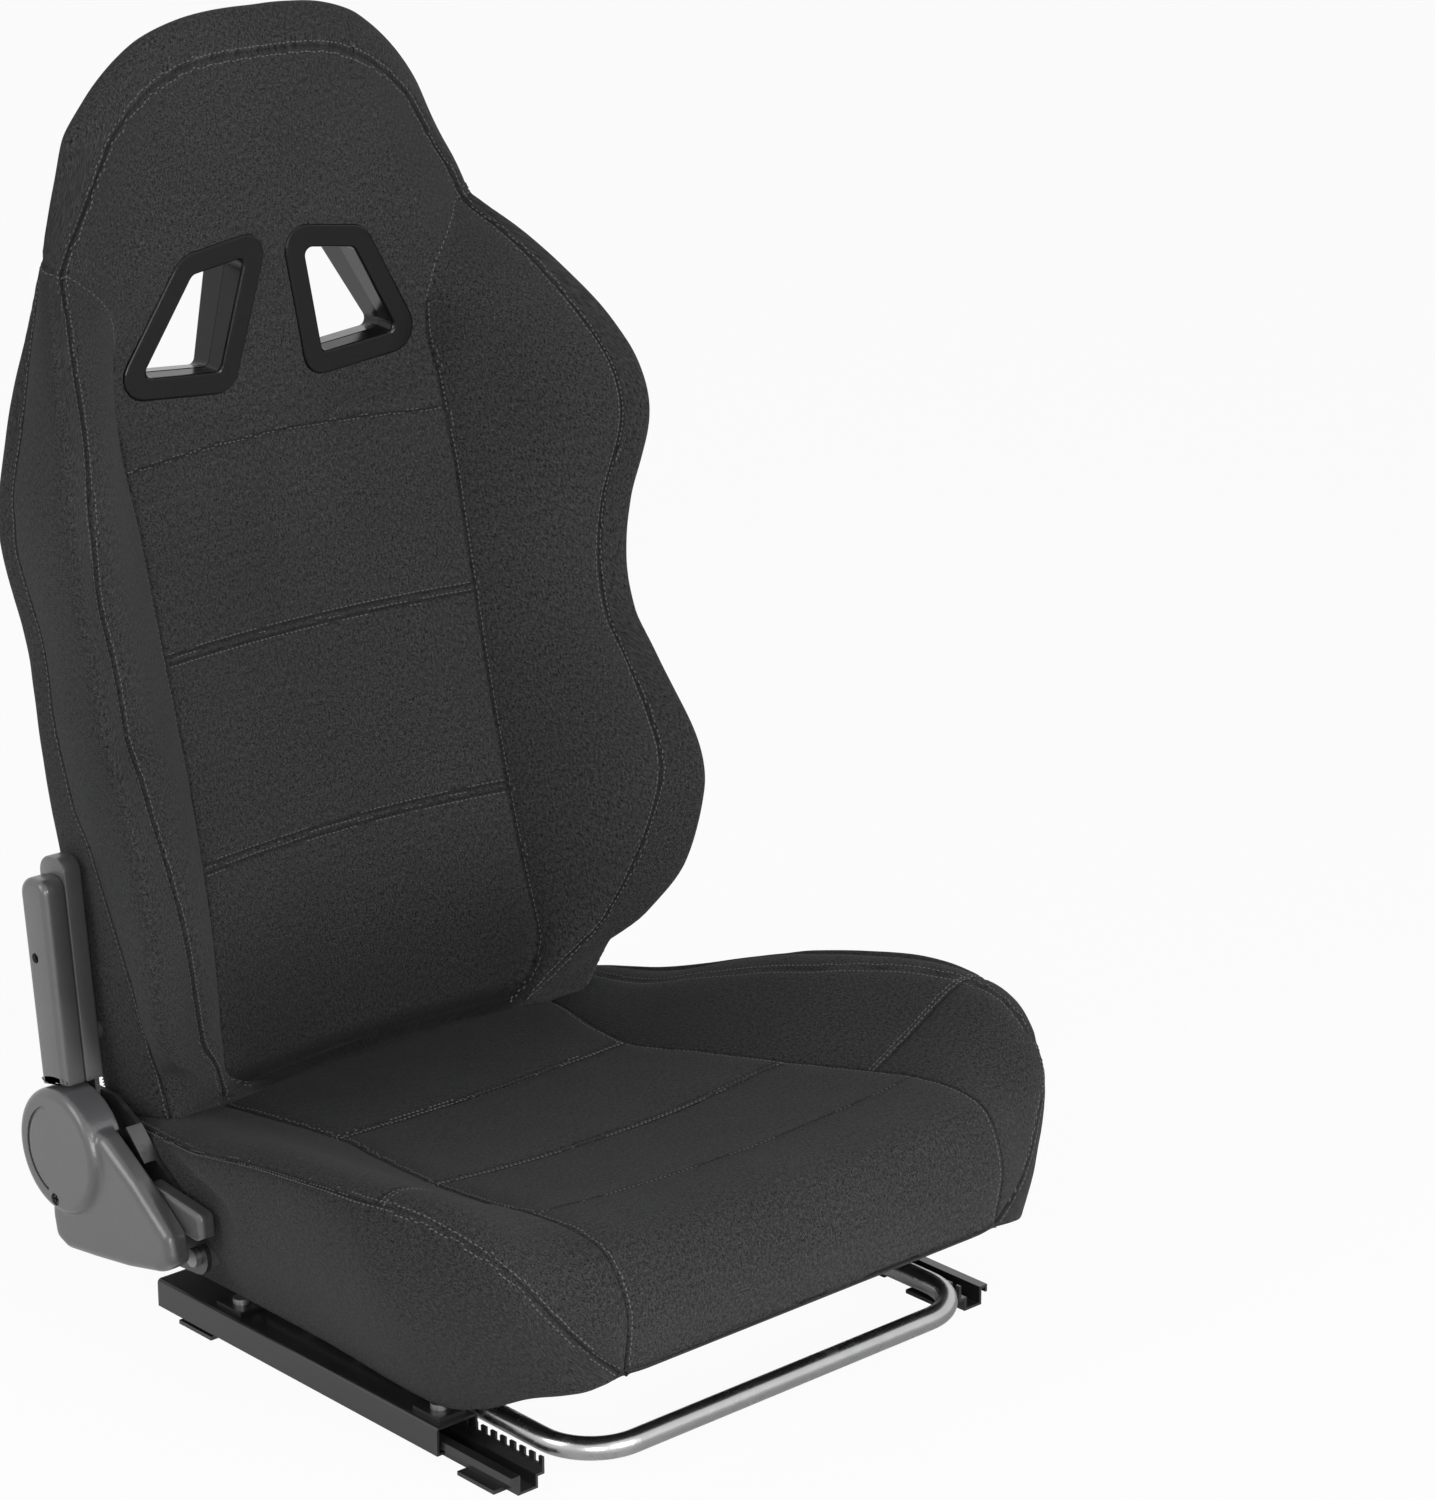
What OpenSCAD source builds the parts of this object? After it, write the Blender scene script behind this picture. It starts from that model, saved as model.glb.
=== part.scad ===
// Reclining racing seat on sliding rails.
// X across the seat, -Y forwards, +Z up.  Origin: centre of the four floor bolts, at floor level.
// The recliner and its lever are on the -X side.

/* [Rails] */
// Half the distance between the two rails' centre lines
rail_x = 219.5; // [216:0.5:222]
// Width of the upper rail
rail_w = 37; // [36:0.5:38]
// Height of the upper rail's top above the floor
rail_top = 29; // [28.5:0.5:30]
// Length of the upper rail
upper_len = 334; // [325:1:345]
// Length of the lower rail
lower_len = 400; // [396:1:420]
// Sheet thickness of both rails
rail_t = 2; // [1.8:0.1:2.2]
// Pitch of the latch comb on the lower rail
comb_pitch = 10.5; // [10:0.1:11]
// Distance between the front and rear floor bolts
bolt_span = 330; // [320:1:340]
// Diameter of a floor bolt hole
floor_hole_d = 8.5; // [8:0.1:9]
// Thickness of a foot pad under the lower rail
foot_t = 3; // [2.5:0.1:4]

/* [Slide bar] */
// Diameter of the bent tube
bar_d = 17; // [15:0.5:17]
// Half the distance between the bar's two arms
bar_x = 190; // [187:0.5:190]
// How far the bar's front run is ahead of the origin
bar_front = 229; // [222:1:232]
// Bend radius of the tube
bar_bend = 45; // [36:1:50]

/* [Seat frame] */
// Diameter of the frame tubes
tube_d = 20; // [18:0.5:21]
// Half the distance between the seat frame's side tubes
frame_x = 209.5; // [209:0.5:209.5]

/* [Backrest] */
// Half the distance between the back frame's side tubes
back_tube_x = 203; // [201:0.5:203]
// Diameter of the back frame's tubes
back_tube_d = 18; // [16:0.5:18]
// Width of the flange round each harness hole
bezel_w = 17.5; // [15:0.5:18]
// How far the flange stands proud of the cover
bezel_proud = 3; // [2:0.1:4]

/* [Recliner] */
// Distance of the recline pivot behind the origin
pivot_y = 256; // [254:0.5:258]
// Height of the recline pivot
pivot_z = 133; // [131:0.5:135]
// Diameter of the pivot pin
pin_d = 14; // [12:0.5:16]
// Outer radius of the round cover over the pivot
disc_r = 49; // [48:0.5:50]
// Tip radius of the ratchet sector
sector_r = 34; // [33.5:0.5:34.5]
// Angle between two ratchet teeth
tooth_step = 6; // [5:0.5:7.5]
// Thickness of the recliner plates
plate_t = 4; // [3.6:0.1:4]

/* [Hidden] */
$fn = 48;

// colours
cloth = "#2b2b2d";
black_steel = "#161617";
bare_steel = "#a8a8aa";
black_plastic = "#2a2b2d";

// running clearance of a pin in its bore, and the gap left between soft and hard pieces
pin_gap = 0.05;
seat_gap = 0.3;

// ---- curves through a few chosen points: [[where, value], ...]
function slope(c, i) =
  let (a = max(i - 1, 0), b = min(i + 1, len(c) - 1))
  (c[b][1] - c[a][1]) / (c[b][0] - c[a][0]);
function span(c, t, i = 0) = (i >= len(c) - 2 || t <= c[i + 1][0]) ? i : span(c, t, i + 1);
function curve(c, t) =
  let (i = span(c, t), h = c[i + 1][0] - c[i][0], s = min(max((t - c[i][0]) / h, 0), 1))
  (2 * s * s * s - 3 * s * s + 1) * c[i][1] + (s * s * s - 2 * s * s + s) * h * slope(c, i)
  + (3 * s * s - 2 * s * s * s) * c[i + 1][1] + (s * s * s - s * s) * h * slope(c, i + 1);
function smooth(a, b, t) = let (s = min(max((t - a) / (b - a), 0), 1)) s * s * (3 - 2 * s);
function circle_pts(c, r, a0, a1, n) =
  [for (k = [0 : n]) let (a = a0 + (a1 - a0) * k / n) [c[0] + r * cos(a), c[1] + r * sin(a)]];
// polygon with its corners rounded, each to its own radius
function rounded(p, r, n = 5) = [
  for (i = [0 : len(p) - 1])
    let (
      a = p[(i + len(p) - 1) % len(p)], b = p[i], c = p[(i + 1) % len(p)],
      u = (a - b) / norm(a - b), v = (c - b) / norm(c - b),
      half = acos(min(max(u * v, -1), 1)) / 2, ri = is_list(r) ? r[i] : r,
      d = ri / tan(half), q = b + (u + v) / norm(u + v) * ri / sin(half),
      s = b + u * d, e = b + v * d,
      a0 = atan2(s[1] - q[1], s[0] - q[0]), a1 = atan2(e[1] - q[1], e[0] - q[0]),
      turn = a1 - a0 > 180 ? a1 - a0 - 360 : (a1 - a0 < -180 ? a1 - a0 + 360 : a1 - a0)
    )
    each circle_pts(q, ri, a0, a0 + turn, n)
];
// anticlockwise outline moved inwards by d
function inset(p, d) = [
  for (i = [0 : len(p) - 1])
    let (
      a = p[(i + len(p) - 1) % len(p)], b = p[i], c = p[(i + 1) % len(p)],
      u = (b - a) / norm(b - a), v = (c - b) / norm(c - b)
    )
    b + ([-u[1], u[0]] + [-v[1], v[0]]) / (1 + u * v) * d
];
// steps of a rounded edge of radius e: [how far in from the face, how far in from the outline]
function edge_steps(e) = [for (k = [0 : 4]) let (t = 22.5 * k) [e * (1 - sin(t)), e * (1 - cos(t))]];
// closed skin from a list of equal rings; each end is closed by a fan to its middle point
module ring_skin(rings, first, last, flip = false) {
  n = len(rings[0]);
  m = len(rings);
  points = concat([for (r = rings) each r], [first, last]);
  walls = [
    for (j = [0 : m - 2]) for (i = [0 : n - 1])
      let (a = j * n + i, b = j * n + (i + 1) % n)
      each [[a, b, a + n], [b, b + n, a + n]]
  ];
  ends = concat(
    [for (i = [0 : n - 1]) [(i + 1) % n, i, m * n]],
    [for (i = [0 : n - 1]) [(m - 1) * n + i, (m - 1) * n + (i + 1) % n, m * n + 1]]
  );
  faces = concat(walls, ends);
  polyhedron(points, flip ? [for (f = faces) [f[2], f[1], f[0]]] : faces, convexity = 8);
}
// outline(d) gives the (y, z) outline moved in by d; the solid runs from -a to -b, its edges rounded
module moulding(outlines_a, outlines_b, a, b, ea, eb, mid) {
  sa = edge_steps(ea);
  sb = edge_steps(eb);
  rings = concat(
    [for (k = [4 : -1 : 0]) [for (p = outlines_a[k]) [-a - sa[k][0], p[0], p[1]]]],
    [for (k = [0 : 4]) [for (p = outlines_b[k]) [-b + sb[k][0], p[0], p[1]]]]
  );
  ring_skin(rings, [-a, mid[0], mid[1]], [-b, mid[0], mid[1]]);
}

// a bar of a (y, z) outline, from x0 to x1
module plate_x(x0, x1) {
  translate([min(x0, x1), 0, 0])
    rotate([90, 0, 90])
      linear_extrude(height = abs(x1 - x0))
        children();
}
// a bar of an (x, z) outline, from y0 to y1
module plate_y(y0, y1) {
  translate([0, max(y0, y1), 0])
    rotate([90, 0, 0])
      linear_extrude(height = abs(y1 - y0))
        children();
}
module rod_x(x0, x1, y, z, d) {
  translate([min(x0, x1), y, z])
    rotate([0, 90, 0])
      cylinder(h = abs(x1 - x0), d = d);
}
module rod_z(x, y, z0, z1, d) {
  translate([x, y, z0])
    cylinder(h = z1 - z0, d = d);
}
// round tube or rod along a path of points
module rod_path(p, d) {
  for (i = [0 : len(p) - 2]) {
    v = p[i + 1] - p[i];
    translate(p[i])
      rotate([0, acos(v[2] / norm(v)), atan2(v[1], v[0])])
        cylinder(h = norm(v), d = d);
  }
  for (i = [1 : 1 : len(p) - 2])
    translate(p[i])
      sphere(d = d + 0.04);
}
module both_sides() {
  children();
  mirror([1, 0, 0])
    children();
}

// ================= rails =================
upper_front = -125;
lower_front = -202;
half_w = rail_w / 2;
skirt = 22;
lip = 5;
base_z = foot_t;
bead_u = half_w - rail_t - 1.5;
flange_z = 12;
bead_z = 18;
rack_top = 25;
comb_start = lower_front + 4;
comb_count = 23;
tooth_gap = 5;
latch_y = comb_start + comb_pitch * 10;
tab_ys = [-105, 128];
// sheet profiles: u is outwards from the rail's centre line
module upper_profile() {
  z0 = rail_top - skirt;
  w = half_w - rail_t;
  polygon(concat(
    [[half_w, z0]], circle_pts([half_w - 3, rail_top - 3], 3, 0, 90, 5),
    circle_pts([-half_w + 3, rail_top - 3], 3, 90, 180, 5),
    [[-half_w, z0], [-w + lip, z0], [-w + lip, z0 + rail_t], [-w, z0 + rail_t], [-w, rail_top - rail_t],
     [w, rail_top - rail_t], [w, z0 + rail_t], [w - lip, z0 + rail_t], [w - lip, z0]]
  ));
}
// the rack side is at negative u, towards the middle of the seat
module lower_profile() {
  t = rail_t;
  polygon([
    [-9, base_z], [9, base_z], [9, bead_z - t], [bead_u - t, bead_z - t], [bead_u - t, flange_z],
    [bead_u, flange_z], [bead_u, bead_z], [9 - t, bead_z], [9 - t, base_z + t], [-9 + t, base_z + t],
    [-9 + t, flange_z + t], [-bead_u + t, flange_z + t], [-bead_u + t, rack_top], [-bead_u, rack_top],
    [-bead_u, flange_z], [-9, flange_z]
  ]);
}
module lower_rail() {
  color(black_steel)
    difference() {
      union() {
        plate_y(lower_front, lower_front + lower_len)
          lower_profile();
        for (y = [-bolt_span / 2, bolt_span / 2])
          translate([-15, y - 20, 0])
            cube([32, 40, foot_t + 0.1]);
      }
      for (y = [-bolt_span / 2, bolt_span / 2])
        rod_z(0, y, -1, base_z + rail_t + 1, floor_hole_d);
      // gaps between the teeth of the rack
      for (i = [0 : comb_count - 1])
        translate([-bead_u - 1, comb_start + comb_pitch * i, rack_top - 6])
          cube([rail_t + 2, tooth_gap, 7]);
    }
}
window_len = 3 * comb_pitch + 6;
module upper_rail() {
  color(black_steel)
    difference() {
      plate_y(upper_front, upper_front + upper_len)
        upper_profile();
      for (y = tab_ys)
        rod_z(0, y, rail_top - 4, rail_top + 2, 8.2);
      // window for the latch plate
      translate([-half_w - 1, latch_y - 3, rack_top - 1.5])
        cube([10, window_len, 10]);
      for (y = bracket_ys)
        rod_x(-half_w - 1, -half_w + rail_t + 1, y, bar_z - 6, 5.1);
    }
}
module lower_rail_left() { translate([rail_x, 0, 0]) lower_rail(); }
module lower_rail_right() { translate([-rail_x, 0, 0]) mirror([1, 0, 0]) lower_rail(); }
module upper_rail_left() { translate([rail_x, 0, 0]) upper_rail(); }
module upper_rail_right() { translate([-rail_x, 0, 0]) mirror([1, 0, 0]) upper_rail(); }

// plastic shoes that carry the upper rail on the lower one
module rail_glides() {
  ceiling = rail_top - rail_t - 0.05;
  w = half_w - rail_t - 0.1;
  color("#cfcabb")
    both_sides()
      translate([rail_x, 0, 0])
        for (y = [[-52, 30], [70, 30]]) {
          translate([7.5, y[0], bead_z + 0.1])
            cube([w - 7.5, y[1], ceiling - bead_z - 0.1]);
          translate([-bead_u + rail_t + 0.3, y[0], flange_z + rail_t + 0.1])
            cube([5, y[1], ceiling - flange_z - rail_t - 0.1]);
        }
}

// ================= slide bar =================
bar_z = 27;
bar_pivot_y = -15;
bracket_ys = [bar_pivot_y - 13, bar_pivot_y + 13];
wall_x = rail_x - half_w;
bar_pin_d = 8;
module slide_bar() {
  r = bar_bend;
  color(bare_steel)
    difference() {
      union() {
        both_sides() {
          translate([bar_x, bar_pivot_y, bar_z])
            rotate([90, 0, 0])
              cylinder(h = bar_front - r + bar_pivot_y, d = bar_d);
          translate([bar_x, bar_pivot_y, bar_z])
            sphere(d = bar_d);
          translate([bar_x - r, -bar_front + r, bar_z])
            rotate([0, 0, -90])
              rotate_extrude(angle = 90)
                translate([r, 0])
                  circle(d = bar_d);
        }
        rod_x(-bar_x + r, bar_x - r, -bar_front, bar_z, bar_d);
      }
      for (s = [-1, 1])
        rod_x(s * (bar_x - 12), s * (bar_x + 12), bar_pivot_y, bar_z, bar_pin_d + 2 * pin_gap);
    }
}
// plate on each arm of the bar; it drops over the teeth of the rack
latch_z = rack_top + 0.4;
module latch() {
  u0 = bar_x + bar_d / 2 - 1.5 - rail_x;
  color(bare_steel)
    difference() {
      translate([u0, latch_y - 2, latch_z])
        cube([-bead_u + rail_t + 1 - u0, 3 * comb_pitch, 2.5]);
      for (i = [0 : 2])
        translate([-bead_u - 0.5, latch_y + comb_pitch * i + tooth_gap - 0.4, latch_z - 1])
          cube([rail_t + 1, comb_pitch - tooth_gap + 0.8, 5]);
      rod_y(bar_x - rail_x, -120, 0, bar_z, bar_d + 0.1);
    }
}
module rod_y(x, y0, y1, z, d) {
  translate([x, max(y0, y1), z])
    rotate([90, 0, 0])
      cylinder(h = abs(y1 - y0), d = d);
}
module latch_left() { translate([rail_x, 0, 0]) latch(); }
module latch_right() { translate([-rail_x, 0, 0]) mirror([1, 0, 0]) latch(); }
// ears riveted to the upper rails; they hold the bar's pins
module bar_brackets() {
  color(black_steel)
    both_sides()
      difference() {
        union() {
          translate([wall_x - 2.1, bar_pivot_y - 19, bar_z - 11])
            cube([2, 38, 17]);
          for (y = bracket_ys)
            rod_x(wall_x - 1, wall_x + rail_t + 0.5, y, bar_z - 6, 5);
        }
        rod_x(wall_x - 9, wall_x + 1, bar_pivot_y, bar_z, bar_pin_d + 2 * pin_gap);
      }
}
module bar_pins() {
  x0 = bar_x - bar_d / 2;
  color(bare_steel)
    both_sides() {
      rod_x(x0 - 1, wall_x - 0.2, bar_pivot_y, bar_z, bar_pin_d);
      rod_x(x0 - 3, x0 - 0.3, bar_pivot_y, bar_z, bar_pin_d + 4);
    }
}

// ================= seat frame =================
frame_z = 50;
frame_front = -203;
frame_rear = 150;
kick_y = -120;
kick_z = 92;
ear_x = frame_x + tube_d / 2;
ear_t = 3;
bolt_d = 8;
recl_bolts = [[136, 77], [208, 72]];
hinge_bolt_pts = [[180, 64], [212, 72]];
module seat_frame() {
  color(black_steel)
    difference() {
      union() {
        both_sides() {
          rod_path([
            [frame_x, frame_rear + 10, frame_z], [frame_x, kick_y, frame_z],
            [frame_x, frame_front - 9, kick_z + 4.5]
          ], tube_d);
          // tabs down to the upper rails
          for (y = tab_ys) {
            translate([rail_x - 12, y - 15, rail_top + 0.1])
              cube([24, 30, 3]);
            for (s = [-15, 12])
              translate([rail_x - 12, y + s, rail_top + 0.1])
                cube([4, 3, 16]);
          }
          // ears for the recliner and the hinge
          plate_x(ear_x - 0.1, ear_x + ear_t)
            polygon(rounded([[114, 44], [226, 44], [226, 86], [196, 92], [114, 92]], 8));
        }
        for (e = [[frame_rear, frame_z], [frame_front, kick_z]])
          rod_x(-frame_x, frame_x, e[0], e[1], tube_d - 1);
      }
      both_sides()
        for (y = tab_ys)
          rod_z(rail_x, y, rail_top - 1, rail_top + 10, 8.2);
      for (b = recl_bolts)
        rod_x(-ear_x - ear_t - 1, -ear_x + 2, b[0], b[1], bolt_d + 2 * pin_gap);
      for (b = hinge_bolt_pts)
        rod_x(ear_x + ear_t + 1, ear_x - 2, b[0], b[1], bolt_d + 2 * pin_gap);
    }
}
// zigzag suspension wires between the side tubes
spring_ys = [-95, -35, 25, 85];
spring_wire = 3.6;
module seat_springs() {
  n = 40;
  waves = 5;
  reach = frame_x - tube_d / 2 + 0.5;
  function mid(k) =
    let (t = k / n, x = (2 * t - 1) * reach, e = smooth(0, 0.12, min(t, 1 - t)))
    [x, e * 15 * sin(360 * waves * t)];
  function side(k, s) =
    let (d = mid(min(k + 1, n)) - mid(max(k - 1, 0)), u = d / norm(d))
    mid(k) + s * spring_wire / 2 * [-u[1], u[0]];
  color(bare_steel)
    difference() {
      for (y = spring_ys)
        translate([0, y, frame_z - spring_wire / 2])
          linear_extrude(height = spring_wire)
            polygon(concat([for (k = [0 : n]) side(k, 1)], [for (k = [n : -1 : 0]) side(k, -1)]));
      both_sides()
        rod_y(frame_x, -160, 160, frame_z, tube_d + 0.1);
    }
}
module frame_bolts() {
  color(bare_steel)
    both_sides()
      for (y = tab_ys) {
        rod_z(rail_x, y, rail_top - rail_t - 1, rail_top + 4, bolt_d);
        rod_z(rail_x, y, rail_top + 3.15, rail_top + 7.5, 13);
      }
}

// ================= seat cushion =================
// stations run from the rear edge (0) over the top to the lower front edge (11): [station, value]
cu_mid_y = [[0, 258], [1, 225], [4, 40], [6, -107], [7, -171], [8, -222], [9, -251], [10, -268], [11, -263]];
cu_mid_z = [[0, 138], [1, 146], [3, 148], [5, 160], [7, 185], [8, 192], [9, 183], [10, 148], [11, 104]];
cu_in_x = [[0, 165], [1, 162], [3, 142], [4, 155], [6, 180], [8, 186], [11, 181]];
cu_in_z = [[0, 138], [1, 147], [3, 151], [5, 170], [6, 182], [7, 194], [8, 196], [9, 186], [10, 150], [11, 104]];
cu_out_x = [[0, 236], [1, 238], [2, 249], [3, 270], [4, 279], [6, 295], [7, 283], [8, 259], [10, 217], [11, 186]];
cu_out_y = [[0, 256], [1, 225], [3, 105], [6, -107], [7, -173], [8, -226], [9, -244], [10, -257], [11, -263]];
cu_out_z = [[0, 136], [1, 141], [2, 151], [3, 174], [5, 207], [6, 218], [7, 219], [8, 193], [10, 134], [11, 104]];
cu_low_x = [[0, 228], [5, 226], [8, 226], [9, 223], [10, 211], [11, 186]];
cu_low_y = [[0, 258], [1, 225], [6, -107], [7, -162], [8, -212], [9, -246], [10, -260], [11, -263]];
cu_low_z = [[0, 44], [4, 42], [6, 38], [7, 54], [8, 80], [9, 94], [10, 99], [11, 103]];
cu_full = [[0, 1], [2, 5], [3, 11], [4, 14], [7, 14], [8, 10], [10, 2], [11, 0]];
cu_split = 0.6;
// sewn channels across the middle panel: [station, half width in stations, depth]
cu_tucks = [[2.98, 0.15, 4], [5.14, 0.14, 4], [7, 0.16, 2.5]];
function cu_tuck(a, w) =
  a >= cu_split - 0.01 ? 0 : max([for (c = cu_tucks) c[2] * max(0, 1 - abs(w - c[0]) / c[1])]);
// top: u runs from -1 to 1 between the crown seams, w is the station
function cu_top(u, w) =
  let (
    a = abs(u), f = min(a / cu_split, 1), p = max((a - cu_split) / (1 - cu_split), 0),
    my = curve(cu_mid_y, w), mz = curve(cu_mid_z, w), ix = curve(cu_in_x, w), iz = curve(cu_in_z, w),
    ox = curve(cu_out_x, w), oy = curve(cu_out_y, w), oz = curve(cu_out_z, w),
    crest = curve(cu_full, w) * 1.6 * pow(p, 3) * sin(180 * p)
  )
  a <= cu_split
    ? [sign(u) * ix * f, my, mz + (iz - mz) * f * f - cu_tuck(a, w)]
    : [sign(u) * (ix + (ox - ix) * p), my + (oy - my) * p, iz + (oz - iz) * pow(sin(90 * p), 1.2) + crest];
// side: v runs from 0 at the crown seam to 1 at the lower edge
function cu_side(s, v, w) =
  let (
    full = curve(cu_full, w),
    a = [curve(cu_out_x, w), curve(cu_out_y, w), curve(cu_out_z, w)],
    b = [curve(cu_low_x, w), curve(cu_low_y, w), curve(cu_low_z, w)],
    m = a + (b - a) * v
  )
  [s * (m[0] + (0.9 * full * (1 - v) + (a[0] - b[0]) * 0.16) * sin(180 * v)), m[1], m[2]];
cu_us = [-1, -0.95, -0.88, -0.8, -0.7, -0.6, -0.4, -0.14, 0.14, 0.4, 0.6, 0.7, 0.8, 0.88, 0.95, 1];
cu_vs = [0.12, 0.26, 0.42, 0.62, 0.82];
cu_ws = [
  0, 0.4, 1, 2, 2.83, 2.98, 3.13, 4, 5, 5.14, 5.28, 6, 6.5, 6.84, 7, 7.16, 7.7, 8.1, 8.5, 8.9, 9.3, 9.7, 10.1,
  10.5, 10.85
];
function cu_ring(w) = concat(
  [for (u = cu_us) cu_top(u, w)],
  [for (v = cu_vs) cu_side(1, v, w)],
  [for (k = [0 : 6]) [(1 - k / 3) * curve(cu_low_x, w), curve(cu_low_y, w), curve(cu_low_z, w)]],
  [for (i = [len(cu_vs) - 1 : -1 : 0]) cu_side(-1, cu_vs[i], w)]
);
foam_gap = seat_gap;
module seat_cushion() {
  well = ear_x + foam_gap;
  over = frame_z + tube_d / 2 + 4;
  color(cloth)
    difference() {
      ring_skin([for (w = cu_ws) cu_ring(w)], [0, 258, 90], [0, curve(cu_mid_y, 11), curve(cu_mid_z, 11)]);
      // hollow over the frame and springs, open underneath
      plate_x(-well, well)
        polygon([
          [frame_rear + 14, 0], [frame_rear + 14, over], [kick_y, over], [-190, kick_z + 16],
          [frame_front - 16, kick_z + 16], [frame_front - 16, 0]
        ]);
      // slots for the ears, room for the spacers, the recliner plate and the grip
      both_sides()
        plate_x(well - 1, ear_x + ear_t + foam_gap)
          polygon([[112, 0], [112, 94], [228, 94], [228, 0]]);
      for (b = recl_bolts)
        rod_x(-ear_x, -300, b[0], b[1], spacer_d + 2 * foam_gap);
      plate_x(-248.6, -330)
        polygon([[116, 30], [116, 108], [150, 128], [183, 145], [205, 166], [233, 181], [310, 181], [310, 30]]);
      plate_x(-253.1, -330)
        polygon([[102, 60], [102, 126], [110, 146], [186, 150], [190, 60]]);
      // slots for the hinge plate and its arm
      plate_x(hinge_x - foam_gap, hinge_x + hinge_t + foam_gap)
        polygon([[160, 0], [160, 97], [206, 97], [241, 146], [241, 170], [300, 170], [300, 0]]);
      plate_x(hinge_x + hinge_t - 1, hinge_x + 2 * hinge_t + 1)
        polygon([[226, 0], [226, 80], [240, 112], [240, 170], [300, 170], [300, 0]]);
      rod_x(hinge_x - 3, hinge_arm_x + hinge_t + 3, pivot_y, pivot_z, 20);
      for (b = hinge_bolt_pts)
        rod_x(hinge_x - 8, hinge_x + 16, b[0], b[1], 16);
    }
}

// ================= recliner, right side =================
pivot = [pivot_y, pivot_z];
base_x = 249;
arm_x = base_x + plate_t + 0.5;
arm_out = arm_x + 4;
lever_x = arm_out + 0.5;
lever_t = 3;
lever_pivot = [206, 99];
lever_pin_d = 9;
spacer_d = 22;
screw_at = [259, 94];
module recliner_base() {
  color(bare_steel)
    difference() {
      union() {
        plate_x(-base_x, -base_x - plate_t)
          polygon(concat(
            circle_pts(pivot, 42, -75, 88, 16),
            [[233, 175], [205, 161], [183, 139], [160, 124], [132, 106]],
            circle_pts([136, 77], 14, 120, 270, 8),
            [[208, 58], [250, 74]]
          ));
        // bent flange above the grip and the boss for the cover's screw
        plate_x(-base_x - plate_t + 0.5, -base_x - 14)
          polygon([[205, 161], [183, 139], [185.2, 137.2], [207, 159]]);
        rod_x(-base_x - 1, -265, screw_at[0], screw_at[1], 8);
      }
      rod_x(-base_x + 1, -base_x - plate_t - 1, pivot_y, pivot_z, pin_d + 2 * pin_gap);
      rod_x(-base_x + 1, -base_x - plate_t - 1, lever_pivot[0], lever_pivot[1], lever_pin_d + 2 * pin_gap);
      rod_x(-base_x + 1, -270, screw_at[0], screw_at[1], 4.6);
      for (b = recl_bolts)
        rod_x(-base_x + 1, -base_x - plate_t - 1, b[0], b[1], bolt_d + 2 * pin_gap);
    }
}
module recliner_bolts() {
  color(bare_steel)
    for (b = recl_bolts) {
      rod_x(-ear_x - ear_t - 0.1, -base_x + 0.1, b[0], b[1], b[0] < 150 ? spacer_d : 16);
      rod_x(-ear_x + 0.6, -base_x - plate_t - 1, b[0], b[1], bolt_d);
      rod_x(-base_x - plate_t - 0.1, -base_x - plate_t - 5, b[0], b[1], 14);
    }
}
module recline_spring() {
  turns = 3.5;
  n = 84;
  strip = 1.8;
  function pt(k, d) =
    let (a = 360 * turns * k / n, r = pin_d / 2 + 0.1 + 19 * k / n + d)
    pivot + r * [cos(a), sin(a)];
  color(black_steel)
    plate_x(-lever_x - lever_t - 1, -lever_x - lever_t - 9)
      polygon(concat([for (k = [0 : n]) pt(k, 0)], [for (k = [n : -1 : 0]) pt(k, strip)]));
}
disc_in = 262;
cover_in = 268.5;
cover_face = 286;
disc_rise = 6;
disc_face = cover_face + disc_rise;
wall = 2.4;
shell_pts = [
  [120, 84], [138, 72], [180, 62.5], [222, 56], [257, 51.5], [272, 57], [276.5, 78], [270, 118],
  [214, 160], [205, 158], [166, 135], [143, 118], [125, 105]
];
function shell_ring(d) = rounded(inset(shell_pts, d), [for (p = shell_pts) 4], 3);
module lower_cover() {
  rings = [for (e = edge_steps(3)) shell_ring(e[1])];
  plain = [for (k = [0 : 4]) shell_ring(0)];
  color(black_plastic)
    difference() {
      union() {
        moulding(plain, rings, cover_in, cover_face, 0.4, 3, [205, 100]);
        // round part over the pivot, with a rounded rim
        translate([-disc_in, pivot_y, pivot_z])
          rotate([0, -90, 0])
            rotate_extrude($fn = 96)
              polygon(concat(
                [[0, 0], [disc_r, 0]],
                circle_pts([disc_r - 3, disc_face - disc_in - 3], 3, 0, 90, 6),
                [[0, disc_face - disc_in]]
              ));
      }
      // hollow, open towards the plates
      difference() {
        union() {
          plate_x(-cover_in + 1, -cover_face + wall)
            polygon(shell_ring(wall));
          rod_x(-disc_in + 1, -disc_face + wall + 1.3, pivot_y, pivot_z, 2 * disc_r - 2 * wall);
        }
        rod_x(-265.1, -disc_face, screw_at[0], screw_at[1], 11);
        rod_x(-base_x - plate_t - 5.1, -cover_face, recl_bolts[1][0], recl_bolts[1][1], 13);
      }
      // crescent groove in the round face
      plate_x(-disc_face - 1, -disc_face + 1.2)
        difference() {
          translate(pivot + [6, -2])
            circle(r = 35, $fn = 96);
          translate(pivot + [-1, 2])
            circle(r = 38, $fn = 96);
        }
      rod_x(-260, -disc_face - 1, screw_at[0], screw_at[1], 5);
      rod_x(-disc_face + 3.4, -disc_face - 1, screw_at[0], screw_at[1], 9.6);
    }
}
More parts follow.
